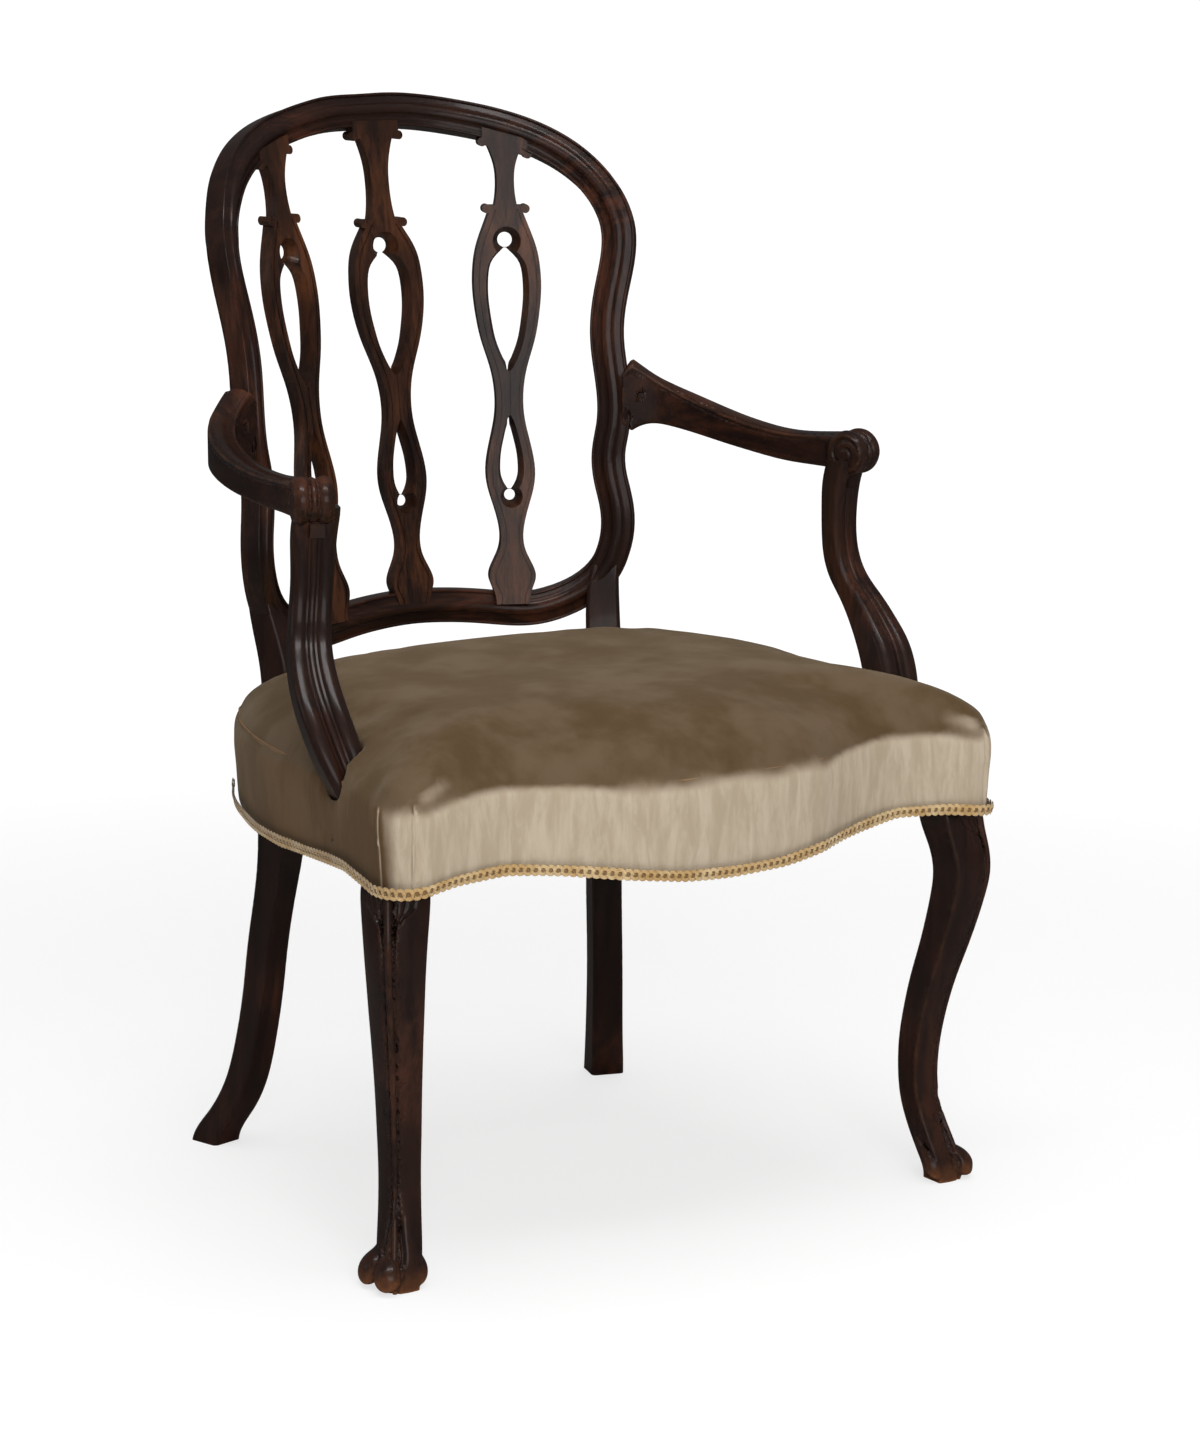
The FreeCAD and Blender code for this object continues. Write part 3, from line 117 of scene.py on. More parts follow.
def points_of(piece):
    return triples(piece.data.vertices, "co")


def set_points(piece, points):
    piece.data.vertices.foreach_set("co", np.ascontiguousarray(points).ravel())
    piece.data.update()


def normals_of(piece):
    return triples(piece.data.vertex_normals, "vector")


def select_faces(piece, chosen):
    """Leaves the mesh open with only the chosen faces selected."""
    open_mesh(piece)
    bpy.ops.mesh.select_mode(type="FACE")
    bpy.ops.mesh.select_all(action="DESELECT")
    close_mesh()
    piece.data.polygons.foreach_set("select", chosen)
    bpy.ops.object.mode_set(mode="EDIT")


def finish_with(piece, kind, **settings):
    """Adds a modifier and applies it."""
    take(piece)
    modifier = piece.modifiers.new(kind.title(), kind)
    for name, value in settings.items():
        setattr(modifier, name, value)
    bpy.ops.object.modifier_apply(modifier=modifier.name)


def smooth_by_angle(piece, degrees):
    take(piece)
    bpy.ops.object.shade_smooth_by_angle(angle=math.radians(degrees))


def close_outward():
    """Turns all faces of the open mesh the same way, outwards on a closed one, and closes it."""
    bpy.ops.mesh.select_all(action="SELECT")
    bpy.ops.mesh.normals_make_consistent(inside=False)
    close_mesh()


def face_outward(piece):
    open_mesh(piece)
    close_outward()


def turn_over(piece):
    """Turns every face of an open piece the other way."""
    open_whole(piece)
    bpy.ops.mesh.flip_normals()
    close_mesh()


def twin_of(piece, title):
    """Another object with a copy of a piece's mesh, selected and active."""
    twin = bpy.data.objects.new(title, piece.data.copy())
    bpy.context.scene.collection.objects.link(twin)
    twin.select_set(True)
    bpy.context.view_layer.objects.active = twin
    return twin


def copy_of(name, title):
    """A loose copy of a frame node, its triangles merged."""
    deselect_all()
    piece = twin_of(nodes[name], title)
    piece.data.name = title
    piece.data.materials.clear()
    open_whole(piece)
    bpy.ops.mesh.remove_doubles(threshold=0.00001)
    close_mesh()
    return piece


def largest_skin(piece):
    """Deletes the small closed skins that the mortises leave inside."""
    title = piece.name
    open_whole(piece)
    bpy.ops.mesh.separate(type="LOOSE")
    close_mesh()
    skins = sorted(bpy.context.selected_objects, key=lambda skin: len(skin.data.vertices))
    for skin in skins[:-1]:
        bpy.data.objects.remove(skin)
    skins[-1].name = title
    return take(skins[-1])


def remesh(piece, grain):
    take(piece)
    piece.data.remesh_voxel_size = grain
    bpy.ops.object.voxel_remesh()


def worn_skin(piece, grain, steps):
    """Rebuilds a copy as one even skin whose arrises are worn round."""
    remesh(piece, grain)
    finish_with(piece, "SMOOTH", factor=0.5, iterations=steps)
    return largest_skin(piece)


def on_skin(piece, places):
    """Rough places moved to the nearest point of the skin."""
    return [np.array(piece.closest_point_on_mesh(Vector(place))[1]) for place in places]


def between(places, count):
    """Evenly spaced places along a line of places."""
    places = np.array(places, float)
    runs = np.linalg.norm(np.diff(places, axis=0), axis=1)
    total = np.concatenate([[0], np.cumsum(runs)])
    at = np.linspace(0, total[-1], count)
    return np.stack([np.interp(at, total, places[:, i]) for i in range(3)], axis=1)


def carve(piece, places, width, depth, fade, steps):
    """Cuts a groove along a line on the skin; a negative depth raises a ridge.

    The groove runs out over the share fade of its length at each end.
    """
    line = np.array(on_skin(piece, between(places, steps)))
    points = points_of(piece)
    margin = 3 * width
    inside = (points > line.min(0) - margin) & (points < line.max(0) + margin)
    near = np.nonzero(np.all(inside, axis=1))[0]
    some = points[near]
    gap = np.full(len(some), 1.0)
    along = np.zeros(len(some))
    for i in range(len(line) - 1):
        run = line[i + 1] - line[i]
        share = np.clip((some - line[i]) @ run / max(run @ run, 1e-12), 0, 1)
        distance = np.linalg.norm(some - line[i] - share[:, None] * run, axis=1)
        closer = distance < gap
        gap[closer] = distance[closer]
        along[closer] = (i + share[closer]) / (len(line) - 1)
    ends = np.clip(np.minimum(along, 1 - along) / fade, 0, 1)
    sink = depth * np.exp(-(gap / width) ** 2) * ends
    points[near] = some - normals_of(piece)[near] * sink[:, None]
    set_points(piece, points)


def spiral(centre, across, up, radius, inner, turns, count=22):
    """A line that winds in from the radius to the inner one."""
    places = []
    for i in range(count):
        share = i / (count - 1)
        angle = 2 * math.pi * turns * share
        reach = radius + (inner - radius) * share
        places.append(centre + across * (reach * math.cos(angle)) + up * (reach * math.sin(angle)))
    return places


full_bend = 0.006  # times the bend of an arris gives its wear, up to 1


def store_wear(piece, spread_steps=8):
    """Stores where the skin is an arris or a hollow, for wear and dust."""
    mesh = piece.data
    count = len(mesh.vertices)
    ends = np.empty(len(mesh.edges) * 2, np.int32)
    mesh.edges.foreach_get("vertices", ends)
    first, second = ends.reshape(-1, 2).T
    points, normals = points_of(piece), normals_of(piece)
    joined = np.bincount(first, minlength=count) + np.bincount(second, minlength=count)
    neighbours = np.maximum(joined, 1)
    run = points[second] - points[first]
    square = np.maximum((run ** 2).sum(1), 1e-14)
    rise = np.bincount(first, (run * normals[first]).sum(1) / square, count)
    rise = rise - np.bincount(second, (run * normals[second]).sum(1) / square, count)
    bend = rise / neighbours
    for _ in range(spread_steps):
        around = np.bincount(first, bend[second], count) + np.bincount(second, bend[first], count)
        bend = 0.5 * bend + 0.5 * around / neighbours
    for name, sign in (("worn", -1), ("hollow", 1)):
        attribute = mesh.attributes.new(name, "FLOAT", "POINT")
        level = np.clip(sign * bend * full_bend, 0, 1)
        attribute.data.foreach_set("value", level.astype(np.float32))


# Shader building
def node(tree, kind, settings=None, **inputs):
    """A shader node with its settings and inputs; underscores stand for spaces."""
    made = tree.nodes.new("ShaderNode" + kind)
    for name, value in (settings or {}).items():
        setattr(made, name, value)
    for name, value in inputs.items():
        socket = made.inputs[name.replace("_", " ")]
        if isinstance(value, bpy.types.NodeSocket):
            tree.links.new(value, socket)
        else:
            socket.default_value = value
    return made


def fill(tree, socket, value):
    """Links a socket to another, or gives it a plain value."""
    if isinstance(value, bpy.types.NodeSocket):
        tree.links.new(value, socket)
    else:
        socket.default_value = value


def calc(tree, operation, first, second=0.0, third=0.0):
    made = tree.nodes.new("ShaderNodeMath")
    made.operation = operation
    for socket, value in zip(made.inputs, (first, second, third)):
        fill(tree, socket, value)
    return made.outputs[0]


def times(tree, first, second):
    return calc(tree, "MULTIPLY", first, second)


def line_of(tree, value, slope, start):
    """The value times a slope, plus a start."""
    return calc(tree, "MULTIPLY_ADD", value, slope, start)


def axes(tree, vector):
    """The three parts of a vector."""
    return node(tree, "SeparateXYZ", Vector=vector).outputs


def stored(tree, name):
    """A value that is stored on the mesh, such as its wear."""
    return node(tree, "Attribute", {"attribute_name": name}).outputs["Fac"]


def blend(tree, share, first, second):
    """The first colour giving way to the second as the share rises to 1."""
    made = tree.nodes.new("ShaderNodeMix")
    made.data_type = "RGBA"
    fill(tree, made.inputs[0], share)
    fill(tree, made.inputs[6], first)
    fill(tree, made.inputs[7], second)
    return made.outputs[2]


def step_up(tree, value, start, end, low=0.0, high=1.0):
    """Rises smoothly from low to high while the value goes from start to end."""
    made = node(tree, "MapRange", {"interpolation_type": "SMOOTHSTEP"}, Value=value)
    for name, number in (("From Min", start), ("From Max", end), ("To Min", low), ("To Max", high)):
        made.inputs[name].default_value = number
    return made.outputs["Result"]


def noise(tree, place, scale, detail=3.0, rough=0.5, twist=0.0):
    made = node(tree, "TexNoise", Vector=place, Scale=scale, Detail=detail,
                Roughness=rough, Distortion=twist)
    return made.outputs[0]


def stretched(tree, place, scale, turn=(0, 0, 0)):
    return node(tree, "Mapping", Vector=place, Scale=scale, Rotation=turn).outputs[0]


def new_group(title, inputs, outputs):
    group = bpy.data.node_groups.new(title, "ShaderNodeTree")
    kinds = {"colour": "NodeSocketColor", "value": "NodeSocketFloat", "vector": "NodeSocketVector"}
    for name, kind in inputs:
        group.interface.new_socket(name, in_out="INPUT", socket_type=kinds[kind])
    for name, kind in outputs:
        group.interface.new_socket(name, in_out="OUTPUT", socket_type=kinds[kind])
    return group, group.nodes.new("NodeGroupInput").outputs, group.nodes.new("NodeGroupOutput").inputs


def use_group(tree, group, **inputs):
    made = tree.nodes.new("ShaderNodeGroup")
    made.node_tree = group
    for name, value in inputs.items():
        fill(tree, made.inputs[name], value)
    return made.outputs


def colour(red, green, blue):
    return (red, green, blue, 1.0)


def new_material(title, **constants):
    """A material with its shader, whose even values sit on the shader's own sockets."""
    material = bpy.data.materials.new(title)
    material.use_nodes = True
    tree = material.node_tree
    shader = tree.nodes["Principled BSDF"]
    for name, value in constants.items():
        shader.inputs[name.replace("_", " ")].default_value = value
    place = tree.nodes.new("ShaderNodeTexCoord").outputs["Object"]
    return material, tree, shader, place


def relief(tree, shader, height, depth, strength=1.0):
    made = node(tree, "Bump", Height=height, Distance=depth, Strength=strength)
    tree.links.new(made.outputs[0], shader.inputs["Normal"])


def wood_figure_group():
    """Streaks, patches, pores and a slow change of tone, for any wood."""
    group, enter, leave = new_group(
        "wood_figure",
        [("Along", "vector"), ("Place", "vector"), ("Dark", "colour"), ("Ruddy", "colour"),
         ("Patch", "value")],
        [("Color", "colour"), ("Streak", "value"), ("Pore", "value")])
    broad = noise(group, enter["Along"], 1.0, 4.0, 0.55, 0.6)
    fine = noise(group, enter["Along"], 7.0, 4.0, 0.6, 0.2)
    patches = noise(group, enter["Place"], 8.0, 2.0, 0.5)
    streak = calc(group, "ADD", times(group, broad, 0.65), times(group, fine, 0.35))
    share = step_up(group, streak, 0.36, 0.66)
    tone = step_up(group, patches, 0.40, 0.68)
    share = times(group, share, line_of(group, tone, enter["Patch"], 0.25))
    pore = step_up(group, noise(group, enter["Along"], 34.0, 2.0, 0.5), 0.60, 0.72)
    base = blend(group, share, enter["Dark"], enter["Ruddy"])
    base = blend(group, times(group, pore, 0.45), base, enter["Dark"])
    group.links.new(base, leave["Color"])
    group.links.new(streak, leave["Streak"])
    group.links.new(pore, leave["Pore"])
    return group


def handling_group():
    """Wear on the arrises and old wax and dust in the hollows."""
    group, enter, leave = new_group(
        "handling",
        [("Place", "vector"), ("Base", "colour"), ("Worn", "value"), ("Hollow", "value"),
         ("Rubbed", "colour"), ("Dust", "colour")],
        [("Color", "colour"), ("Roughness", "value")])
    broken = noise(group, enter["Place"], 60.0, 4.0, 0.65)
    rub = times(group, enter["Worn"], step_up(group, broken, 0.35, 0.65))
    dust = times(group, enter["Hollow"], step_up(group, broken, 0.70, 0.30))
    shade = blend(group, times(group, rub, 0.45), enter["Base"], enter["Rubbed"])
    shade = blend(group, times(group, dust, 0.25), shade, enter["Dust"])
    smear = noise(group, enter["Place"], 22.0, 3.0, 0.6)
    rough = line_of(group, smear, 0.14, 0.24)
    rough = line_of(group, dust, 0.20, rough)
    group.links.new(shade, leave["Color"])
    group.links.new(rough, leave["Roughness"])
    return group


def weave_group():
    """Threads over and under in two directions, and the gaps between them for painted shade."""
    group, enter, leave = new_group(
        "weave", [("Place", "vector"), ("Pitch", "value")], [("Height", "value"), ("Painted Gap Shade", "value")])
    parts = axes(group, enter["Place"])
    rate = calc(group, "DIVIDE", math.pi, enter["Pitch"])
    x = times(group, parts[0], rate)
    y = times(group, parts[1], rate)
    sine_x, sine_y = calc(group, "SINE", x), calc(group, "SINE", y)
    over = times(group, sine_x, sine_y)
    thread_x = calc(group, "ABSOLUTE", sine_x)
    thread_y = calc(group, "ABSOLUTE", sine_y)
    lift = line_of(group, over, 0.3, 0.5)
    height = times(group, lift, calc(group, "MAXIMUM", thread_x, thread_y))
    group.links.new(height, leave["Height"])
    # The gaps between the threads, which the cloth darkens as painted shade
    gap = step_up(group, calc(group, "MAXIMUM", thread_x, thread_y), 0.75, 0.35)
    group.links.new(gap, leave["Painted Gap Shade"])
    return group


wood_figure = wood_figure_group()
handling = handling_group()
weave = weave_group()


near_black = colour(0.0105, 0.0048, 0.0035)
rubbed_brown = colour(0.105, 0.038, 0.014)
old_wax = colour(0.034, 0.026, 0.019)
toe_brown = colour(0.17, 0.060, 0.018)


def mahogany(title, stretch, turn=(0, 0, 0), ruddy=(0.060, 0.019, 0.009)):
    """Dark waxed mahogany whose figure runs the way that stretch says."""
    material, tree, shader, place = new_material(
        title, Coat_Weight=0.35, Coat_Roughness=0.10, Specular_IOR_Level=0.5)
    along = stretched(tree, place, stretch, turn)
    figure = use_group(tree, wood_figure, Along=along, Place=place, Dark=near_black,
                       Ruddy=colour(*ruddy), Patch=0.85)
    worn = stored(tree, "worn")
    hollow = stored(tree, "hollow")
    handled = use_group(tree, handling, Place=place, Base=figure["Color"], Worn=worn, Hollow=hollow,
                        Rubbed=rubbed_brown, Dust=old_wax)
    fill(tree, shader.inputs["Base Color"], handled["Color"])
    fill(tree, shader.inputs["Roughness"], handled["Roughness"])
    relief(tree, shader, calc(tree, "SUBTRACT", figure["Streak"], figure["Pore"]), 0.00003, 0.25)
    return material


def toe_mahogany():
    """The front legs' mahogany, rubbed to a warm brown at the toes."""
    material = mahogany("mahogany_front_leg", (60, 60, 5))
    tree = material.node_tree
    shader = tree.nodes["Principled BSDF"]
    base = shader.inputs["Base Color"].links[0].from_socket
    place = [n for n in tree.nodes if n.type == "TEX_COORD"][0].outputs["Object"]
    height = axes(tree, place)[2]
    patch = noise(tree, place, 70.0, 4.0, 0.7)
    low = line_of(tree, patch, -0.020, height)
    rub = step_up(tree, low, 0.014, -0.004)
    worn = stored(tree, "worn")
    rub = times(tree, rub, line_of(tree, worn, 1.2, 0.3))
    mixed = blend(tree, calc(tree, "MINIMUM", rub, 1.0), base, toe_brown)
    fill(tree, shader.inputs["Base Color"], mixed)
    return material


def beech():
    """Pale beech of the hidden frame, stained brown in places."""
    material, tree, shader, place = new_material("aged_beech", Specular_IOR_Level=0.35)
    along = stretched(tree, place, (9, 70, 70))
    figure = use_group(tree, wood_figure, Along=along, Place=place, Dark=colour(0.20, 0.115, 0.055),
                       Ruddy=colour(0.40, 0.255, 0.135), Patch=0.6)
    stain = step_up(tree, noise(tree, place, 16.0, 4.0, 0.6), 0.55, 0.75)
    shade = blend(tree, times(tree, stain, 0.6), figure["Color"], colour(0.10, 0.062, 0.034))
    fill(tree, shader.inputs["Base Color"], shade)
    fill(tree, shader.inputs["Roughness"], line_of(tree, figure["Streak"], 0.25, 0.55))
    relief(tree, shader, calc(tree, "SUBTRACT", figure["Streak"], figure["Pore"]), 0.0003, 0.6)
    return material


# The velvet's colours by the way each face points, each from a dull to a clear one: partly the lie of
# the pile, partly painted light and shade, pale on the front and brown on the top and sides
top_browns = colour(0.082, 0.049, 0.021), colour(0.120, 0.080, 0.046)
side_browns = colour(0.084, 0.042, 0.014), colour(0.118, 0.064, 0.026)
front_pales_painted_light = colour(0.40, 0.325, 0.232), colour(0.50, 0.42, 0.318)
speck_brown = colour(0.10, 0.065, 0.035)


def velvet():
    """Taupe velvet, pale on the front and brown on the top and sides by the way each face points: partly
    its pressed pile, partly painted light and shade.
    """
    material, tree, shader, place = new_material(
        "velvet", Specular_IOR_Level=0.15, Sheen_Weight=0.15, Sheen_Roughness=0.45,
        Sheen_Tint=colour(0.95, 0.80, 0.60))
    normal = tree.nodes.new("ShaderNodeNewGeometry").outputs["Normal"]
    facing = axes(tree, normal)
    cloud = noise(tree, stretched(tree, place, (16, 16, 9)), 1.0, 4.0, 0.6)
    brushed = noise(tree, stretched(tree, place, (70, 70, 14)), 1.0, 4.0, 0.65, 0.4)
    drift = calc(tree, "ADD", line_of(tree, cloud, 0.36, -0.18),
                 line_of(tree, brushed, 0.18, -0.09))
    # Faces towards the front take the pale colours and the top and sides the browns: painted light and
    # shade over the pile's own lie
    towards = line_of(tree, facing[1], -1.0, times(tree, drift, 0.5))
    front = step_up(tree, towards, 0.12, 0.62)
    level = calc(tree, "ADD", facing[2], times(tree, drift, 0.9))
    upright = step_up(tree, level, 0.50, 0.12)
    pale = times(tree, front, upright)
    top = blend(tree, step_up(tree, cloud, 0.36, 0.66), *top_browns)
    side = blend(tree, step_up(tree, cloud, 0.40, 0.62), *side_browns)
    shade = blend(tree, upright, top, side)
    light = blend(tree, step_up(tree, brushed, 0.35, 0.68), *front_pales_painted_light)
    shade = blend(tree, pale, shade, light)
    cells = node(tree, "TexVoronoi", Vector=place, Scale=34.0)
    speck = step_up(tree, cells.outputs["Distance"], 0.045, 0.03)
    rare = step_up(tree, noise(tree, place, 21.0, 1.0), 0.58, 0.60)
    speck = times(tree, times(tree, speck, rare), 0.5)
    shade = blend(tree, speck, shade, speck_brown)
    fill(tree, shader.inputs["Base Color"], shade)
    pile = noise(tree, place, 1500.0, 2.0, 0.7)
    fill(tree, shader.inputs["Roughness"], line_of(tree, pile, 0.2, 0.72))
    nap = line_of(tree, brushed, 2.0, pile)
    relief(tree, shader, nap, 0.0004, 0.6)
    return material


straw_threads = colour(0.52, 0.33, 0.135), colour(0.66, 0.49, 0.27)
twist_shadow = colour(0.30, 0.17, 0.065)
tape_brown_painted_shade = colour(0.12, 0.06, 0.02)


def braid_thread():
    """Twisted straw-coloured thread, with painted shadow along its twist and painted dark brown shade
    where the tape shows between the loops.
    """
    material, tree, shader, place = new_material(
        "braid_thread", Specular_IOR_Level=0.25, Sheen_Weight=0.3, Sheen_Roughness=0.4)
    patch = noise(tree, place, 45.0, 4.0, 0.6)
    twist = node(tree, "TexWave", {"bands_direction": "DIAGONAL"}, Vector=place, Scale=420.0,
                 Distortion=3.0, Detail=2.0)
    shade = blend(tree, step_up(tree, patch, 0.35, 0.68), *straw_threads)
    hollow = stored(tree, "hollow")
    shade = blend(tree, times(tree, twist.outputs["Fac"], 0.25), shade, twist_shadow)
    # Painted shade: the tape that shows between the loops is darkened to brown
    shade = blend(tree, times(tree, hollow, 0.7), shade, tape_brown_painted_shade)
    fill(tree, shader.inputs["Base Color"], shade)
    fill(tree, shader.inputs["Roughness"], line_of(tree, patch, 0.2, 0.55))
    relief(tree, shader, twist.outputs["Fac"], 0.0003, 0.6)
    return material


stripe_spacing = 0.0115


def woven(title, light, dark, pitch, stripe=None):
    """Coarse cloth; stripe names the axis across which its stripes lie."""
    material, tree, shader, place = new_material(title, Specular_IOR_Level=0.2, Sheen_Weight=0.2)
    cloth = use_group(tree, weave, Place=place, Pitch=pitch)
    fibre = noise(tree, place, 260.0, 4.0, 0.7)
    shade = blend(tree, step_up(tree, fibre, 0.35, 0.68), colour(*dark), colour(*light))
    # Painted shade in the gaps between the threads
    shade = blend(tree, times(tree, cloth["Painted Gap Shade"], 0.8), shade,
                  colour(dark[0] * 0.3, dark[1] * 0.3, dark[2] * 0.3))
    if stripe is not None:
        lines = axes(tree, place)[stripe]
        turns = times(tree, lines, math.pi / stripe_spacing)
        wave = calc(tree, "ABSOLUTE", calc(tree, "SINE", turns))
        shade = blend(tree, step_up(tree, wave, 0.90, 0.97, 0.0, 0.55), shade, colour(0.10, 0.055, 0.03))
    fill(tree, shader.inputs["Base Color"], shade)
    fill(tree, shader.inputs["Roughness"], line_of(tree, fibre, 0.15, 0.75))
    relief(tree, shader, cloth["Height"], 0.0006, 0.8)
    return material


def old_steel(title, shade):
    """Dull steel with rust in patches."""
    material, tree, shader, place = new_material(title)
    patch = noise(tree, place, 900.0, 3.0, 0.6)
    rust = step_up(tree, noise(tree, place, 240.0, 3.0, 0.6), 0.52, 0.66)
    rusted = blend(tree, rust, colour(*shade), colour(0.11, 0.045, 0.02))
    fill(tree, shader.inputs["Base Color"], rusted)
    fill(tree, shader.inputs["Roughness"], line_of(tree, patch, 0.3, 0.30))
    fill(tree, shader.inputs["Metallic"], calc(tree, "SUBTRACT", 1.0, rust))
    relief(tree, shader, patch, 0.0001, 0.5)
    return material


def dress(piece, material, slot, *replaced):
    """Gives a new piece its finish and its body, and hides the nodes that it stands for."""
    piece.data.materials.clear()
    piece.data.materials.append(material)
    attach(piece, "root")
    if replaced:
        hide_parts(*replaced)
    return piece


def finish_node(name, material):
    nodes[name].data.materials.clear()
    nodes[name].data.materials.append(material)


upright_wood = mahogany("mahogany_upright", (55, 55, 4))
crest_wood = mahogany("mahogany_crest", (4, 55, 55))
arm_wood = mahogany("mahogany_arm", (55, 5, 55))
splat_wood = mahogany("mahogany_splat", (70, 70, 5), ruddy=(0.095, 0.032, 0.012))
leg_wood = toe_mahogany()
beech_wood = beech()
seat_velvet = velvet()
thread = braid_thread()
jute_light, jute_dark = (0.42, 0.31, 0.18), (0.25, 0.17, 0.09)
jute = woven("jute_webbing", jute_light, jute_dark, pitch=0.0016, stripe=0)
jute_across = woven("jute_webbing_across", jute_light, jute_dark, pitch=0.0016, stripe=1)
sacking = woven("sacking", (0.36, 0.26, 0.14), (0.21, 0.14, 0.07), pitch=0.0024)
screw_steel = old_steel("screw_steel", (0.25, 0.23, 0.21))
tack_steel = old_steel("tack_steel", (0.09, 0.09, 0.10))


# Arms: each solid as one worn skin, with its lines, its flutes and the spirals of its roll carved.
# The tables and places are the right arm's; the left one mirrors them
arm_root = np.array((0.2075, 0.1684, 0.679))
arm_way = np.array((0.792, -0.611, 0.0))
arm_low, arm_lift = 0.651, 0.028
arm_half_width = 0.0125
arm_depth, arm_root_depth = 0.026, 0.022
scroll = np.array((0.2803, -0.0925, 0.651))
scroll_turn = math.radians(21)
scroll_axis = np.array((math.cos(scroll_turn), math.sin(scroll_turn), 0))
scroll_front = np.array((math.sin(scroll_turn), -math.cos(scroll_turn), 0))
upward = np.array((0, 0, 1.0))
roll_half_width = 0.0175
flute_count, flute_reach = 7, 0.0148
cove_reach, cove_start, cove_growth = 0.036, 0.003, 0.42
# Along the arm, each row has shares of its run forward and outward, of its lift, width and depth
arm_stations = [
    (0.058, 0.36, 0.84, 0.98, 0.66), (0.150, 0.57, 0.56, 0.98, 0.34), (0.260, 0.70, 0.32, 0.98, 0.16),
    (0.380, 0.78, 0.13, 0.98, 0.05), (0.500, 0.825, 0.01, 1.00, 0.00), (0.620, 0.85, -0.06, 1.04, 0.00),
    (0.740, 0.875, -0.07, 1.12, 0.04), (0.860, 0.92, -0.02, 1.24, 0.12)]


def on_side(places, sign):
    """Places of the right side, mirrored for the left."""
    return [np.array(place) * (sign, 1, 1) for place in places]


def arm_line(across_share, inset, down):
    """A line along the right arm, near its top arris on one side."""
    line = []
    for share, side_share, lift, width, deep in arm_stations:
        x = arm_root[0] + (scroll[0] - arm_root[0]) * side_share
        y = arm_root[1] + (scroll[1] - arm_root[1]) * share
        z = arm_low + arm_lift * lift + (arm_depth + arm_root_depth * deep) / 2 - down
        line.append(np.array((x, y, z)))
    moved = []
    for i, place in enumerate(line):
        run = line[min(i + 1, len(line) - 1)] - line[max(i - 1, 0)]
        across = np.array((-run[1], run[0], 0))
        across /= np.linalg.norm(across)
        half = arm_half_width * arm_stations[i][3] - inset
        moved.append(place + across * across_share * half)
    return moved


def on_roll(radius, degrees, across):
    """A place round the right arm's roll, by its angle above the front."""
    turn = math.radians(degrees)
    return scroll + across + scroll_front * radius * math.cos(turn) + upward * radius * math.sin(turn)


def carve_arm_end(piece, sign):
    """Spirals on the roll's two sides, short flutes under its front and two lines over it."""
    for end in (-1, 1):
        centre = scroll + scroll_axis * end * roll_half_width
        volute = spiral(centre, scroll_front, upward, radius=0.0150, inner=0.0035, turns=1.45)
        carve(piece, on_side(volute, sign), width=0.0014, depth=0.0017, fade=0.1, steps=60)
    middle = (flute_count - 1) / 2
    for i in range(flute_count):
        across = scroll_axis * flute_reach * (i - middle) / middle
        flute = [on_roll(0.0205, degrees, across) for degrees in (-8, -24, -40, -54)]
        carve(piece, on_side(flute, sign), width=0.0011, depth=0.0012, fade=0.35, steps=10)
    for end in (-0.2, 0.2):
        across = scroll_axis * roll_half_width * end
        line = [on_roll(0.0195, degrees, across) for degrees in range(100, -60, -20)]
        carve(piece, on_side(line, sign), width=0.0011, depth=0.0010, fade=0.2, steps=30)


def flare_root(arm, sign):
    """Spreads the arm's root into the coves by which it runs into the upright."""
    root = arm_root * (sign, 1, 1)
    way = arm_way * (sign, 1, 1)
    points = points_of(arm)
    along = (points - root) @ way
    spread = np.clip(1 - along / cove_reach, 0, 1) ** 2.4
    share = spread * np.clip(1 + (along - cove_start) / 0.010, 0, 1)
    points[:, 2] = root[2] + (points[:, 2] - root[2]) * (1 + cove_growth * share)
    set_points(arm, points)


for side, sign in SIDES:
    arm = worn_skin(copy_of("arm_" + side, "arm_with_scroll_" + side), 0.0010, 6)
    flare_root(arm, sign)
    for across_share in (-1, 1):
        on_top = on_side(arm_line(across_share, inset=0.0036, down=0.0), sign)
        below = on_side(arm_line(across_share, inset=0.0, down=0.0044), sign)
        carve(arm, on_top, width=0.0010, depth=0.0011, fade=0.08, steps=60)
        carve(arm, below, width=0.0010, depth=0.0010, fade=0.08, steps=60)
    carve_arm_end(arm, sign)
    smooth_by_angle(arm, 80)
    store_wear(arm)
    dress(arm, arm_wood, "mahogany", "arm_" + side)


# Front legs: each solid as one worn skin, with reeds carved at the knee and valleys between the toes
leg_height = 0.352
leg_top_x, leg_top_y = 0.272, -0.215
leg_reach_x, leg_reach_y = 0.021, -0.033
leg_width = 0.0485
# Each row has shares of the leg's height, of its reach towards the corner and of its width
leg_stations = [
    (0.000, 0.64, 0.54), (0.060, 0.56, 0.60), (0.110, 0.38, 0.61), (0.160, 0.20, 0.59),
    (0.215, 0.06, 0.575), (0.285, 0.00, 0.575), (0.370, 0.04, 0.60), (0.455, 0.17, 0.625),
    (0.540, 0.36, 0.66), (0.620, 0.585, 0.70), (0.700, 0.79, 0.745), (0.765, 0.93, 0.78),
    (0.820, 1.00, 0.815), (0.880, 0.935, 0.86), (0.945, 0.76, 0.91), (1.000, 0.60, 0.88)]
# Where each reed starts across the face, and how low it runs
knee_reeds = ((0.42, 0.292), (0.05, 0.300), (-0.32, 0.308))
# Each valley by shares of its turn from the corner, its reach and its height
toe_line = ((1, 0.045, 0.006), (1, 0.044, 0.020), (1, 0.034, 0.034), (0.8, 0.026, 0.055),
            (0.5, 0.022, 0.085))


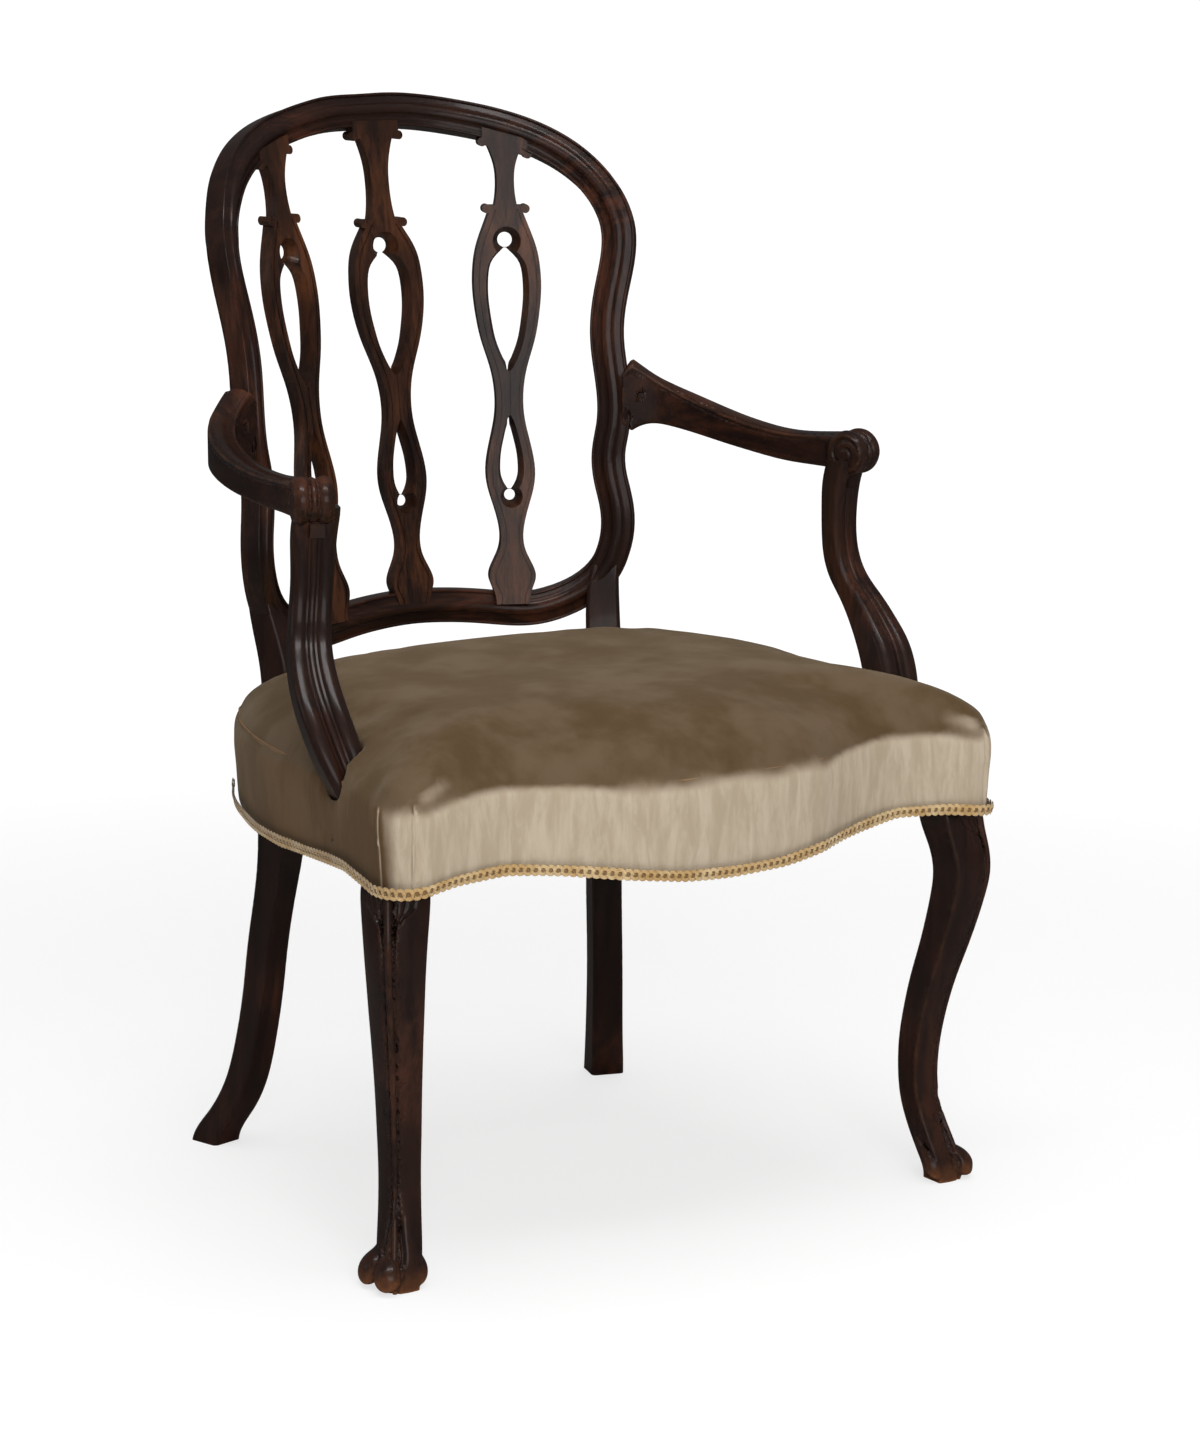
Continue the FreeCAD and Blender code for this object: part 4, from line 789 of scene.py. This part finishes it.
def on_leg(across_share, front_share, z):
    """A place by its shares of the right front leg's square section at a height."""
    rises, reaches, widths = zip(*leg_stations)
    reach = np.interp(z / leg_height, rises, reaches)
    half = leg_width * np.interp(z / leg_height, rises, widths) / 2
    return np.array((leg_top_x + leg_reach_x * reach + half * across_share,
                     leg_top_y + leg_reach_y * reach - half * front_share, z))


def toe_valley(turn, reach, z):
    """A place in a valley between two toes of the right front leg."""
    angle = math.radians(-45 + turn)
    return np.array((leg_top_x + reach * math.cos(angle), leg_top_y + reach * math.sin(angle), z))


def carve_front_leg(leg, sign):
    for flip in (False, True):
        for start, low in knee_reeds:
            line = [(start, 1.0, 0.350), (start + 0.12, 1.0, 0.335), (0.60, 0.86, low + 0.012),
                    (0.70, 0.80, low)]
            if flip:
                line = [(b, a, z) for a, b, z in line]
            places = [on_leg(a, b, z) for a, b, z in line]
            carve(leg, on_side(places, sign), width=0.0013, depth=0.0014, fade=0.25, steps=24)
    for turn in (-21, 21):
        places = [toe_valley(turn * share, reach, z) for share, reach, z in toe_line]
        carve(leg, on_side(places, sign), width=0.0022, depth=0.0034, fade=0.3, steps=30)


for side, sign in SIDES:
    leg = worn_skin(copy_of("front_leg_" + side, "shaped_front_leg_" + side), 0.0009, 9)
    carve_front_leg(leg, sign)
    smooth_by_angle(leg, 80)
    store_wear(leg)
    dress(leg, leg_wood, "mahogany", "front_leg_" + side)


# Seat: plan, wavy lower edge and crown
def arc_places(first, middle, last, count):
    """Places along the round line through three places."""
    (x1, y1), (x2, y2), (x3, y3) = first, middle, last
    d = 2 * (x1 * (y2 - y3) + x2 * (y3 - y1) + x3 * (y1 - y2))
    if abs(d) < 1e-9:
        return [(x1 + (x3 - x1) * i / count, y1 + (y3 - y1) * i / count) for i in range(count)]
    s1, s2, s3 = x1 * x1 + y1 * y1, x2 * x2 + y2 * y2, x3 * x3 + y3 * y3
    cx = (s1 * (y2 - y3) + s2 * (y3 - y1) + s3 * (y1 - y2)) / d
    cy = (s1 * (x3 - x2) + s2 * (x1 - x3) + s3 * (x2 - x1)) / d
    begin, end = math.atan2(y1 - cy, x1 - cx), math.atan2(y3 - cy, x3 - cx)
    sweep = (end - begin + math.pi) % (2 * math.pi) - math.pi
    r = math.hypot(x1 - cx, y1 - cy)
    return [(cx + r * math.cos(begin + sweep * i / count), cy + r * math.sin(begin + sweep * i / count))
            for i in range(count)]


def seat_plan(scale, count, proud=0.0):
    """Evenly spaced places round the seat from the front middle, and the ways that they face."""
    corners = [(x * seat_half_width, y * seat_half_depth) for x, y in seat_outline]
    right = []
    for i in range(0, len(corners) - 1, 2):
        right += arc_places(*corners[i:i + 3], 14)
    right.append((0.0, seat_half_depth))
    left = [(-x, y) for x, y in right[-2:0:-1]]
    loop = np.array(right + left + [right[0]]) * scale
    runs = np.concatenate([[0], np.cumsum(np.linalg.norm(np.diff(loop, axis=0), axis=1))])
    at = np.linspace(0, runs[-1], count, endpoint=False)
    places = np.stack([np.interp(at, runs, loop[:, i]) for i in range(2)], axis=1)
    run = np.roll(places, -1, axis=0) - np.roll(places, 1, axis=0)
    run /= np.linalg.norm(run, axis=1)[:, None]
    outward = np.stack([run[:, 1], -run[:, 0]], axis=1)
    places = places + outward * proud + (0, seat_middle_y)
    return places, outward


def edge_height(places):
    """Height of the seat's lower edge at places in plan."""
    side_share = (places[:, 1] - seat_middle_y) / seat_half_depth
    front = np.interp(places[:, 0] / seat_half_width, *zip(*front_wave))
    side = np.interp(side_share, *zip(*side_wave))
    drop = np.where(side_share < side_share_at_front, front, side)
    return lower_edge - edge_dip * drop


blank_points = 320
ring_growth, ring_shrinkage = 0.0015, 0.006  # below and above the shoulder, for the swelling
shoulder_share = 0.8
crown_drop = 0.0030
room_for_wood = 0.0012
cushion_grain = 0.006
held_below = 0.418
swell_cap = 0.0045
swell_frames = 20
cloth_settings = {
    "quality": 4, "mass": 0.3, "tension_stiffness": 12, "compression_stiffness": 12,
    "bending_stiffness": 0.6, "use_pressure": True, "uniform_pressure_force": 4,
    "vertex_group_mass": "held"}
hem_level, hem_fade_top = 0.318, 0.400
velvet_gap = 0.0008
velvet_thickness = 0.0012
corner_room_at, corner_room_size = (0.2178, 0.196, 0.42), (0.122, 0.062, 0.30)
# Each welt's place in plan and the way to the groove beside it
welts = ((0.2930, -0.2790, -0.0030), (0.3137, -0.2510, 0.0030))
welt_levels = (0.338, 0.36, 0.38, 0.40, 0.415, 0.428)


def plan_disc(title, scale, count, level):
    """A flat face in the seat's plan, drawn in by a scale, and its places."""
    places, outward = seat_plan(scale, count)
    bpy.ops.mesh.primitive_circle_add(vertices=count, fill_type="NGON", location=(0, 0, 0))
    disc = bpy.context.active_object
    disc.name = title
    set_points(disc, np.column_stack([places, np.full(count, level)]))
    return disc, places


def draw_ring(rise, scale):
    """Draws the chosen faces up, and in or out about the seat's middle."""
    bpy.ops.mesh.extrude_region_move(TRANSFORM_OT_translate={"value": (0, 0, rise)})
    bpy.ops.transform.resize(value=(scale, scale, 1), center_override=(0, seat_middle_y, 0))


def make_cushion_blank():
    """The stuffed seat before it swells: the plan drawn up in rings that close over the crown."""
    last_share, last_scale = crown_rings[0]
    level = skirt_low + (crown_high - skirt_low) * last_share
    blank, places = plan_disc("seat_blank", last_scale, blank_points, level)
    open_mesh(blank)
    bpy.ops.mesh.select_mode(type="FACE")
    bpy.ops.mesh.select_all(action="SELECT")
    for share, scale in crown_rings[1:]:
        scale = scale + (ring_growth if share < shoulder_share else -ring_shrinkage * scale)
        rise = (crown_high - skirt_low) * (share - last_share)
        rise = rise - (crown_drop if share == 1.0 else 0)
        draw_ring(rise, scale / last_scale)
        last_share, last_scale = share, scale
    close_outward()
    return blank


def notch(piece, tool, proud):
    """Cuts the room that a wooden part needs, plus a little."""
    cutter = twin_of(tool, "cutter")
    finish_with(cutter, "DISPLACE", strength=proud, mid_level=0.0)
    remesh(cutter, 0.003)
    finish_with(piece, "BOOLEAN", operation="DIFFERENCE", solver="EXACT", object=cutter)
    bpy.data.objects.remove(cutter)


def clear_corner(sign):
    """The room that the cover leaves for the upright at a back corner."""
    deselect_all()
    x, y, z = corner_room_at
    bpy.ops.mesh.primitive_cube_add(size=1, location=(x * sign, y, z))
    bpy.ops.transform.resize(value=corner_room_size)
    bpy.ops.object.transform_apply()
    return bpy.context.active_object


def swell(piece):
    """Lets the stuffing push the velvet out, with the nailed edge held."""
    scene = bpy.context.scene
    start = points_of(piece).copy()
    held = piece.vertex_groups.new(name="held")
    for index in np.nonzero(start[:, 2] < held_below)[0]:
        held.add([int(index)], 1.0, "REPLACE")
    cloth = piece.modifiers.new("Cloth", "CLOTH")
    for name, value in cloth_settings.items():
        setattr(cloth.settings, name, value)
    cloth.settings.effector_weights.gravity = 0
    cloth.collision_settings.use_collision = False
    cloth.point_cache.frame_start = 1
    cloth.point_cache.frame_end = swell_frames
    for step in range(1, swell_frames + 1):
        scene.frame_set(step)
    bpy.ops.object.modifier_apply(modifier=cloth.name)
    scene.frame_set(1)
    piece.vertex_groups.clear()
    move = points_of(piece) - start
    length = np.linalg.norm(move, axis=1)[:, None]
    set_points(piece, start + move * np.minimum(1, swell_cap / np.maximum(length, 1e-9)))


def push_clear(piece, tool, gap):
    """Moves any point that is nearer than the gap to a wooden part out of its way."""
    tree = BVHTree.FromPolygons([v.co for v in tool.data.vertices],
                                [f.vertices for f in tool.data.polygons])
    points = points_of(piece)
    low, high = points_of(tool).min(0) - gap, points_of(tool).max(0) + gap
    search_reach = 0.02
    for index in np.nonzero(np.all((points > low) & (points < high), axis=1))[0]:
        place, facing, face, distance = tree.find_nearest(Vector(points[index]), search_reach)
        if place is None:
            continue
        away = (Vector(points[index]) - place).dot(facing)
        if away < gap:
            points[index] = np.array(place + facing * gap)
    set_points(piece, points)


def draw_welts(piece):
    """Two raised welts up each front corner, with a groove beside each."""
    x, y, z = triples(piece.data.polygons, "center").T
    select_faces(piece, (np.abs(x) > 0.275) & (y < -0.232) & (z < 0.445))
    bpy.ops.mesh.subdivide(number_cuts=2, smoothness=0.0)
    close_mesh()
    for side, sign in SIDES:
        for x, y, shift in welts:
            rim = [np.array((x, y, z)) for z in welt_levels]
            carve(piece, on_side(rim, sign), width=0.0013, depth=-0.0016, fade=0.12, steps=30)
            beside = [place + (shift * 0.6, shift, 0) for place in rim]
            carve(piece, on_side(beside, sign), width=0.0012, depth=0.0010, fade=0.12, steps=30)


def hem(piece):
    """Cuts the skirt and moves its edge to the wavy line."""
    open_whole(piece)
    bpy.ops.mesh.bisect(plane_co=(0, 0, hem_level), plane_no=(0, 0, -1), clear_outer=True)
    close_mesh()
    points = points_of(piece)
    lift = edge_height(points) - hem_level
    fade = np.clip((hem_fade_top - points[:, 2]) / (hem_fade_top - hem_level), 0, 1)
    points[:, 2] += lift * fade
    set_points(piece, points)


def make_cushion():
    """The velvet seat: cut round the wood, swollen, hemmed, welted and given its thickness."""
    cushion = make_cushion_blank()
    tools = [worn_skin(copy_of(name + side, "tool_" + name + side), 0.002, 1)
             for name in ("arm_support_", "rear_leg_") for side, sign in SIDES]
    corners = [clear_corner(sign) for side, sign in SIDES]
    for tool in tools + corners:
        notch(cushion, tool, room_for_wood)
    for corner in corners:
        bpy.data.objects.remove(corner)
    remesh(cushion, cushion_grain)
    finish_with(cushion, "SMOOTH", factor=0.5, iterations=4)
    swell(cushion)
    finish_with(cushion, "SMOOTH", factor=0.5, iterations=8)
    finish_with(cushion, "SUBSURF", levels=1, render_levels=1)
    hem(cushion)
    for tool in tools:
        push_clear(cushion, tool, velvet_gap)
    draw_welts(cushion)
    face_outward(cushion)
    finish_with(cushion, "DECIMATE", ratio=0.5)
    finish_with(cushion, "SOLIDIFY", thickness=velvet_thickness, offset=-1.0)
    smooth_by_angle(cushion, 60)
    for tool in tools:
        bpy.data.objects.remove(tool)
    cushion.name = "velvet_seat"
    dress(cushion, seat_velvet, "velvet", "seat_cover", "stuffing")


make_cushion()


# Braid: one coiled loop of cord, laid again and again over a narrow tape along the lower edge
cord_radius, coil_radius = 0.00145, 0.0029
loop_wide, loop_tall = 1.22, 1.28
loop_spacing = 0.0066
loop_lean, loop_flatness, loop_unevenness = 0.0020, 0.8, 0.05
braid_rise, braid_proud = 0.0030, 0.0012
tape_proud, tape_width, tape_thickness = 0.0002, 0.0070, 0.0004
corner_y, back_end_y, back_end_x = -0.2475, 0.165, 0.1568


def make_loop():
    """A single coil of cord, open at its foot, lying in the plane of x and z."""
    deselect_all()
    bpy.ops.mesh.primitive_circle_add(vertices=6, radius=cord_radius, fill_type="NOTHING",
                                      location=(coil_radius, 0, 0), rotation=(math.radians(90), 0, 0))
    loop = bpy.context.active_object
    loop.name = "braid_loop"
    bpy.ops.object.transform_apply()
    open_whole(loop)
    bpy.ops.mesh.spin(steps=10, angle=math.radians(330), center=(0, 0, 0), axis=(0, 1, 0))
    close_outward()
    return loop


def lay_loops(loop, path, outward, title):
    """Copies the loop along a path, each laid over the one before."""
    shape = points_of(loop)
    turn = np.arctan2(shape[:, 2], shape[:, 0]) % (2 * math.pi)
    lean = turn / (2 * math.pi) - 0.5
    deselect_all()
    for i in range(len(path) - 1):
        run = path[i + 1] - path[i]
        step = np.linalg.norm(run)
        run = run / step
        out = outward[i]
        up = np.cross(run, out)
        up = up / np.linalg.norm(up)
        wobble = loop_unevenness * math.sin(i * 12.9898)
        local = shape * (loop_wide, 1.0, loop_tall + wobble)
        depth = local[:, 1] * loop_flatness + lean * loop_lean
        placed = path[i] + run * (step / 2) + np.outer(local[:, 0] * (1 + wobble), run)
        placed = placed + np.outer(depth, out) + np.outer(local[:, 2], up)
        set_points(twin_of(loop, title), placed)
    bpy.ops.object.join()
    row = bpy.context.active_object
    row.name = title
    row.data.name = title
    return row


def make_tape(path, outward, title):
    """A narrow tape that follows the path."""
    deselect_all()
    bpy.ops.mesh.primitive_grid_add(x_subdivisions=len(path) - 1, y_subdivisions=2, size=1)
    tape = bpy.context.active_object
    tape.name = title
    grid = points_of(tape)
    station = np.rint((grid[:, 0] + 0.5) * (len(path) - 1)).astype(int)
    rise = grid[:, 1] * tape_width
    set_points(tape, path[station] + outward[station] * tape_proud + np.outer(rise, (0, 0, 1)))
    face_outward(tape)
    if (triples(tape.data.polygons, "normal") @ outward[0]).sum() < 0:
        turn_over(tape)
    finish_with(tape, "SOLIDIFY", thickness=tape_thickness, offset=1.0)
    return tape


def make_braid(side, chosen, roll, node_name):
    """The braid along the chosen part of the seat's lower edge."""
    places, outward = seat_plan(1.0, 1600, 0.0012)
    places, outward = np.roll(places, roll, axis=0), np.roll(outward, roll, axis=0)
    kept = chosen(*places.T)
    places, outward = places[kept], outward[kept]
    path = np.column_stack([places, edge_height(places) + braid_rise])
    count = int(np.linalg.norm(np.diff(path, axis=0), axis=1).sum() / loop_spacing) + 1
    line = between(path, count)
    nearest = [int(np.argmin(((places - place[:2]) ** 2).sum(1))) for place in line]
    out = np.column_stack([outward[nearest], np.zeros(count)])
    row = lay_loops(braid_loop, line + out * braid_proud, out, "braid_loops_" + side)
    tape = make_tape(line, out, "braid_tape_" + side)
    loop_points = len(row.data.vertices)
    take(row)
    tape.select_set(True)
    bpy.ops.object.join()
    row.name = "braid_" + side
    smooth_by_angle(row, 60)
    store_wear(row, 1)
    # The tape's points are marked for the painted shade between the loops
    dark = np.zeros(len(row.data.vertices), np.float32)
    dark[loop_points:] = 1
    row.data.attributes["hollow"].data.foreach_set("value", dark)
    dress(row, thread, "gimp", node_name)


def along_side(x, y, sign):
    return (y > corner_y) & (y < back_end_y) & (x * sign > 0)


braid_loop = make_loop()
make_braid("front", lambda x, y: y < corner_y, 800, "gimp_front")
make_braid("right", lambda x, y: along_side(x, y, 1), 0, "gimp_side_right")
make_braid("left", lambda x, y: along_side(x, y, -1), 0, "gimp_side_left")
make_braid("back", lambda x, y: (y > 0.1) & (np.abs(x) < back_end_x), 0, "gimp_back")
bpy.data.objects.remove(braid_loop)


# Under the seat: woven webbing and the sacking over it
strap_level = 0.4256
strap_depth = 0.00075
strap_thickness = 0.0012
strap_stations = 90
long_places = [share * 0.08986 for share in (-1.5, -0.5, 0.5, 1.5)]
cross_places = [seat_middle_y + share * seat_half_depth for share in (-0.52, -0.18, 0.16, 0.50)]


def weave_strap(name, replaced, along, crossings, first, material):
    """A strap that goes over and under the straps that it meets."""
    low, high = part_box(replaced)
    low, high = np.array(low), np.array(high)
    middle, size = (low + high) / 2, high - low
    deselect_all()
    bpy.ops.mesh.primitive_cube_add(size=1, location=tuple(middle))
    strap = bpy.context.active_object
    strap.scale = (size[0], size[1], strap_thickness)
    bpy.ops.object.transform_apply()
    strap.name = name
    open_whole(strap)
    bpy.ops.mesh.subdivide(number_cuts=1)
    close_mesh()
    for cut in np.linspace(low[along], high[along], strap_stations)[1:-1]:
        place, way = [0, 0, 0], [0, 0, 0]
        place[along], way[along] = cut, 1
        open_whole(strap)
        bpy.ops.mesh.bisect(plane_co=place, plane_no=way)
        close_mesh()
    points = points_of(strap)
    signs = [first * (-1) ** i for i in range(len(crossings))]
    at = [low[along]] + list(crossings) + [high[along]]
    lifts = np.interp(points[:, along], at, [0] + signs + [0])
    points[:, 2] += strap_level - middle[2] + strap_depth * np.sin(lifts * math.pi / 2)
    set_points(strap, points)
    face_outward(strap)
    smooth_by_angle(strap, 40)
    dress(strap, material, "webbing", replaced)


for i in range(4):
    number, over = str(i + 1), (-1) ** i
    weave_strap("webbing_long_" + number, "web_front_to_back_" + number, 1, cross_places, over, jute)
    weave_strap("webbing_cross_" + number, "web_side_to_side_" + number, 0, long_places, -over,
                jute_across)


sacking_inset, sacking_level = 0.0096, 0.4282
sacking_points = 240


def make_sacking():
    """The sacking, one layer stretched inside the rails, its underside looking down."""
    cloth, places = plan_disc("sacking_sheet", 1 - sacking_inset / seat_half_depth, sacking_points,
                              sacking_level)
    open_whole(cloth)
    for step in range(3):
        draw_ring(0, 0.85)
    close_outward()
    if triples(cloth.data.polygons, "normal")[:, 2].mean() > 0:
        turn_over(cloth)
    dress(cloth, sacking, "hessian", "hessian")


make_sacking()


# Solids that stay get their finish
finishes = {"rail": beech_wood, "block": beech_wood, "crest_rail": crest_wood,
            "lower_back_rail": crest_wood, "rear_leg": upright_wood, "arm_support": upright_wood,
            "splat": splat_wood, "arm_plug": arm_wood, "screws": screw_steel, "tacks": tack_steel}
for name in nodes:
    for part, material in finishes.items():
        if part in name:
            finish_node(name, material)


# Floor, light and camera
def make_floor():
    """White paper that shows the chair's shadow, and looks dark in the polish."""
    deselect_all()
    bpy.ops.mesh.primitive_grid_add(x_subdivisions=4, y_subdivisions=4, size=60, location=(0, 0, 0))
    floor = bpy.context.active_object
    floor.name = "studio_floor"
    material, tree, shader, place = new_material("studio_paper", Roughness=0.9, Specular_IOR_Level=0.0)
    path = node(tree, "LightPath").outputs
    fibre = noise(tree, place, 3.0, 2.0)
    paper = blend(tree, fibre, colour(0.94, 0.94, 0.94), colour(0.97, 0.97, 0.97))
    paper = blend(tree, path["Is Glossy Ray"], paper, colour(0.10, 0.09, 0.085))
    fill(tree, shader.inputs["Base Color"], paper)
    glow = tree.nodes.new("ShaderNodeEmission")
    glow.inputs["Strength"].default_value = 1.08
    reach = node(tree, "VectorMath", {"operation": "LENGTH"}, Vector=place).outputs["Value"]
    share = step_up(tree, reach, 0.8, 2.4, low=0.64, high=1.0)
    mixer = tree.nodes.new("ShaderNodeMixShader")
    tree.links.new(times(tree, path["Is Camera Ray"], share), mixer.inputs[0])
    tree.links.new(shader.outputs[0], mixer.inputs[1])
    tree.links.new(glow.outputs[0], mixer.inputs[2])
    tree.links.new(mixer.outputs[0], tree.nodes["Material Output"].inputs["Surface"])
    floor.data.materials.append(material)


def make_light(title, place, aim, size, power, mirrored=True):
    """A flat lamp aimed at a place; one that isn't mirrored leaves no patch in the polish."""
    lamp = bpy.data.lights.new(title, "AREA")
    lamp.shape = "RECTANGLE"
    lamp.size, lamp.size_y = size
    lamp.energy = power
    fitting = bpy.data.objects.new(title, lamp)
    fitting.location = place
    fitting.rotation_euler = (Vector(aim) - Vector(place)).to_track_quat("-Z", "Y").to_euler()
    fitting.visible_glossy = mirrored
    bpy.context.scene.collection.objects.link(fitting)


def make_surroundings():
    """A white backdrop to the eye, a dim one to the chair and a darker one in its polish."""
    world = bpy.data.worlds.new("studio")
    bpy.context.scene.world = world
    world.use_nodes = True
    tree = world.node_tree
    backdrop = tree.nodes["Background"]
    backdrop.inputs["Color"].default_value = colour(1, 1, 1)
    path = node(tree, "LightPath").outputs
    level = line_of(tree, path["Is Camera Ray"], 0.85, 0.24)
    level = line_of(tree, path["Is Glossy Ray"], -0.16, level)
    tree.links.new(level, backdrop.inputs["Strength"])


def make_camera():
    """The camera solved on the photo: its turn and tilt in radians and its distance."""
    yaw, pitch, reach = 0.5691251837880995, 0.19766613663068064, 3.744977814359499
    aim = Vector((0, -0.103, 0.43800896))
    view = bpy.data.cameras.new("photo_camera")
    view.lens = 106.74
    view.sensor_fit = "AUTO"
    view.sensor_width = 36.0
    stand = bpy.data.objects.new("photo_camera", view)
    level = math.cos(pitch)
    way = Vector((math.sin(yaw) * level, math.cos(yaw) * level, -math.sin(pitch)))
    stand.location = aim - way * reach
    stand.rotation_euler = way.to_track_quat("-Z", "Y").to_euler()
    bpy.context.scene.collection.objects.link(stand)
    bpy.context.scene.camera = stand


make_floor()
make_surroundings()
make_light("key_window", (-1.4, -3.4, 2.0), (0, 0, 0.45), (1.8, 1.8), 68, False)
make_light("overhead", (0.0, -0.3, 3.0), (0, 0, 0.4), (2.2, 2.2), 42, False)
make_light("pale_wall", (-1.6, -4.6, 1.7), (0, 0, 0.6), (4.2, 2.2), 24)
make_light("ceiling_strip", (-0.6, -1.2, 3.2), (0, 0, 0.5), (2.4, 0.5), 14)
make_light("side_strip", (-3.2, 0.8, 1.6), (0, 0, 0.6), (0.3, 1.6), 1.5)
make_camera()
bpy.context.scene.view_settings.view_transform = "Standard"
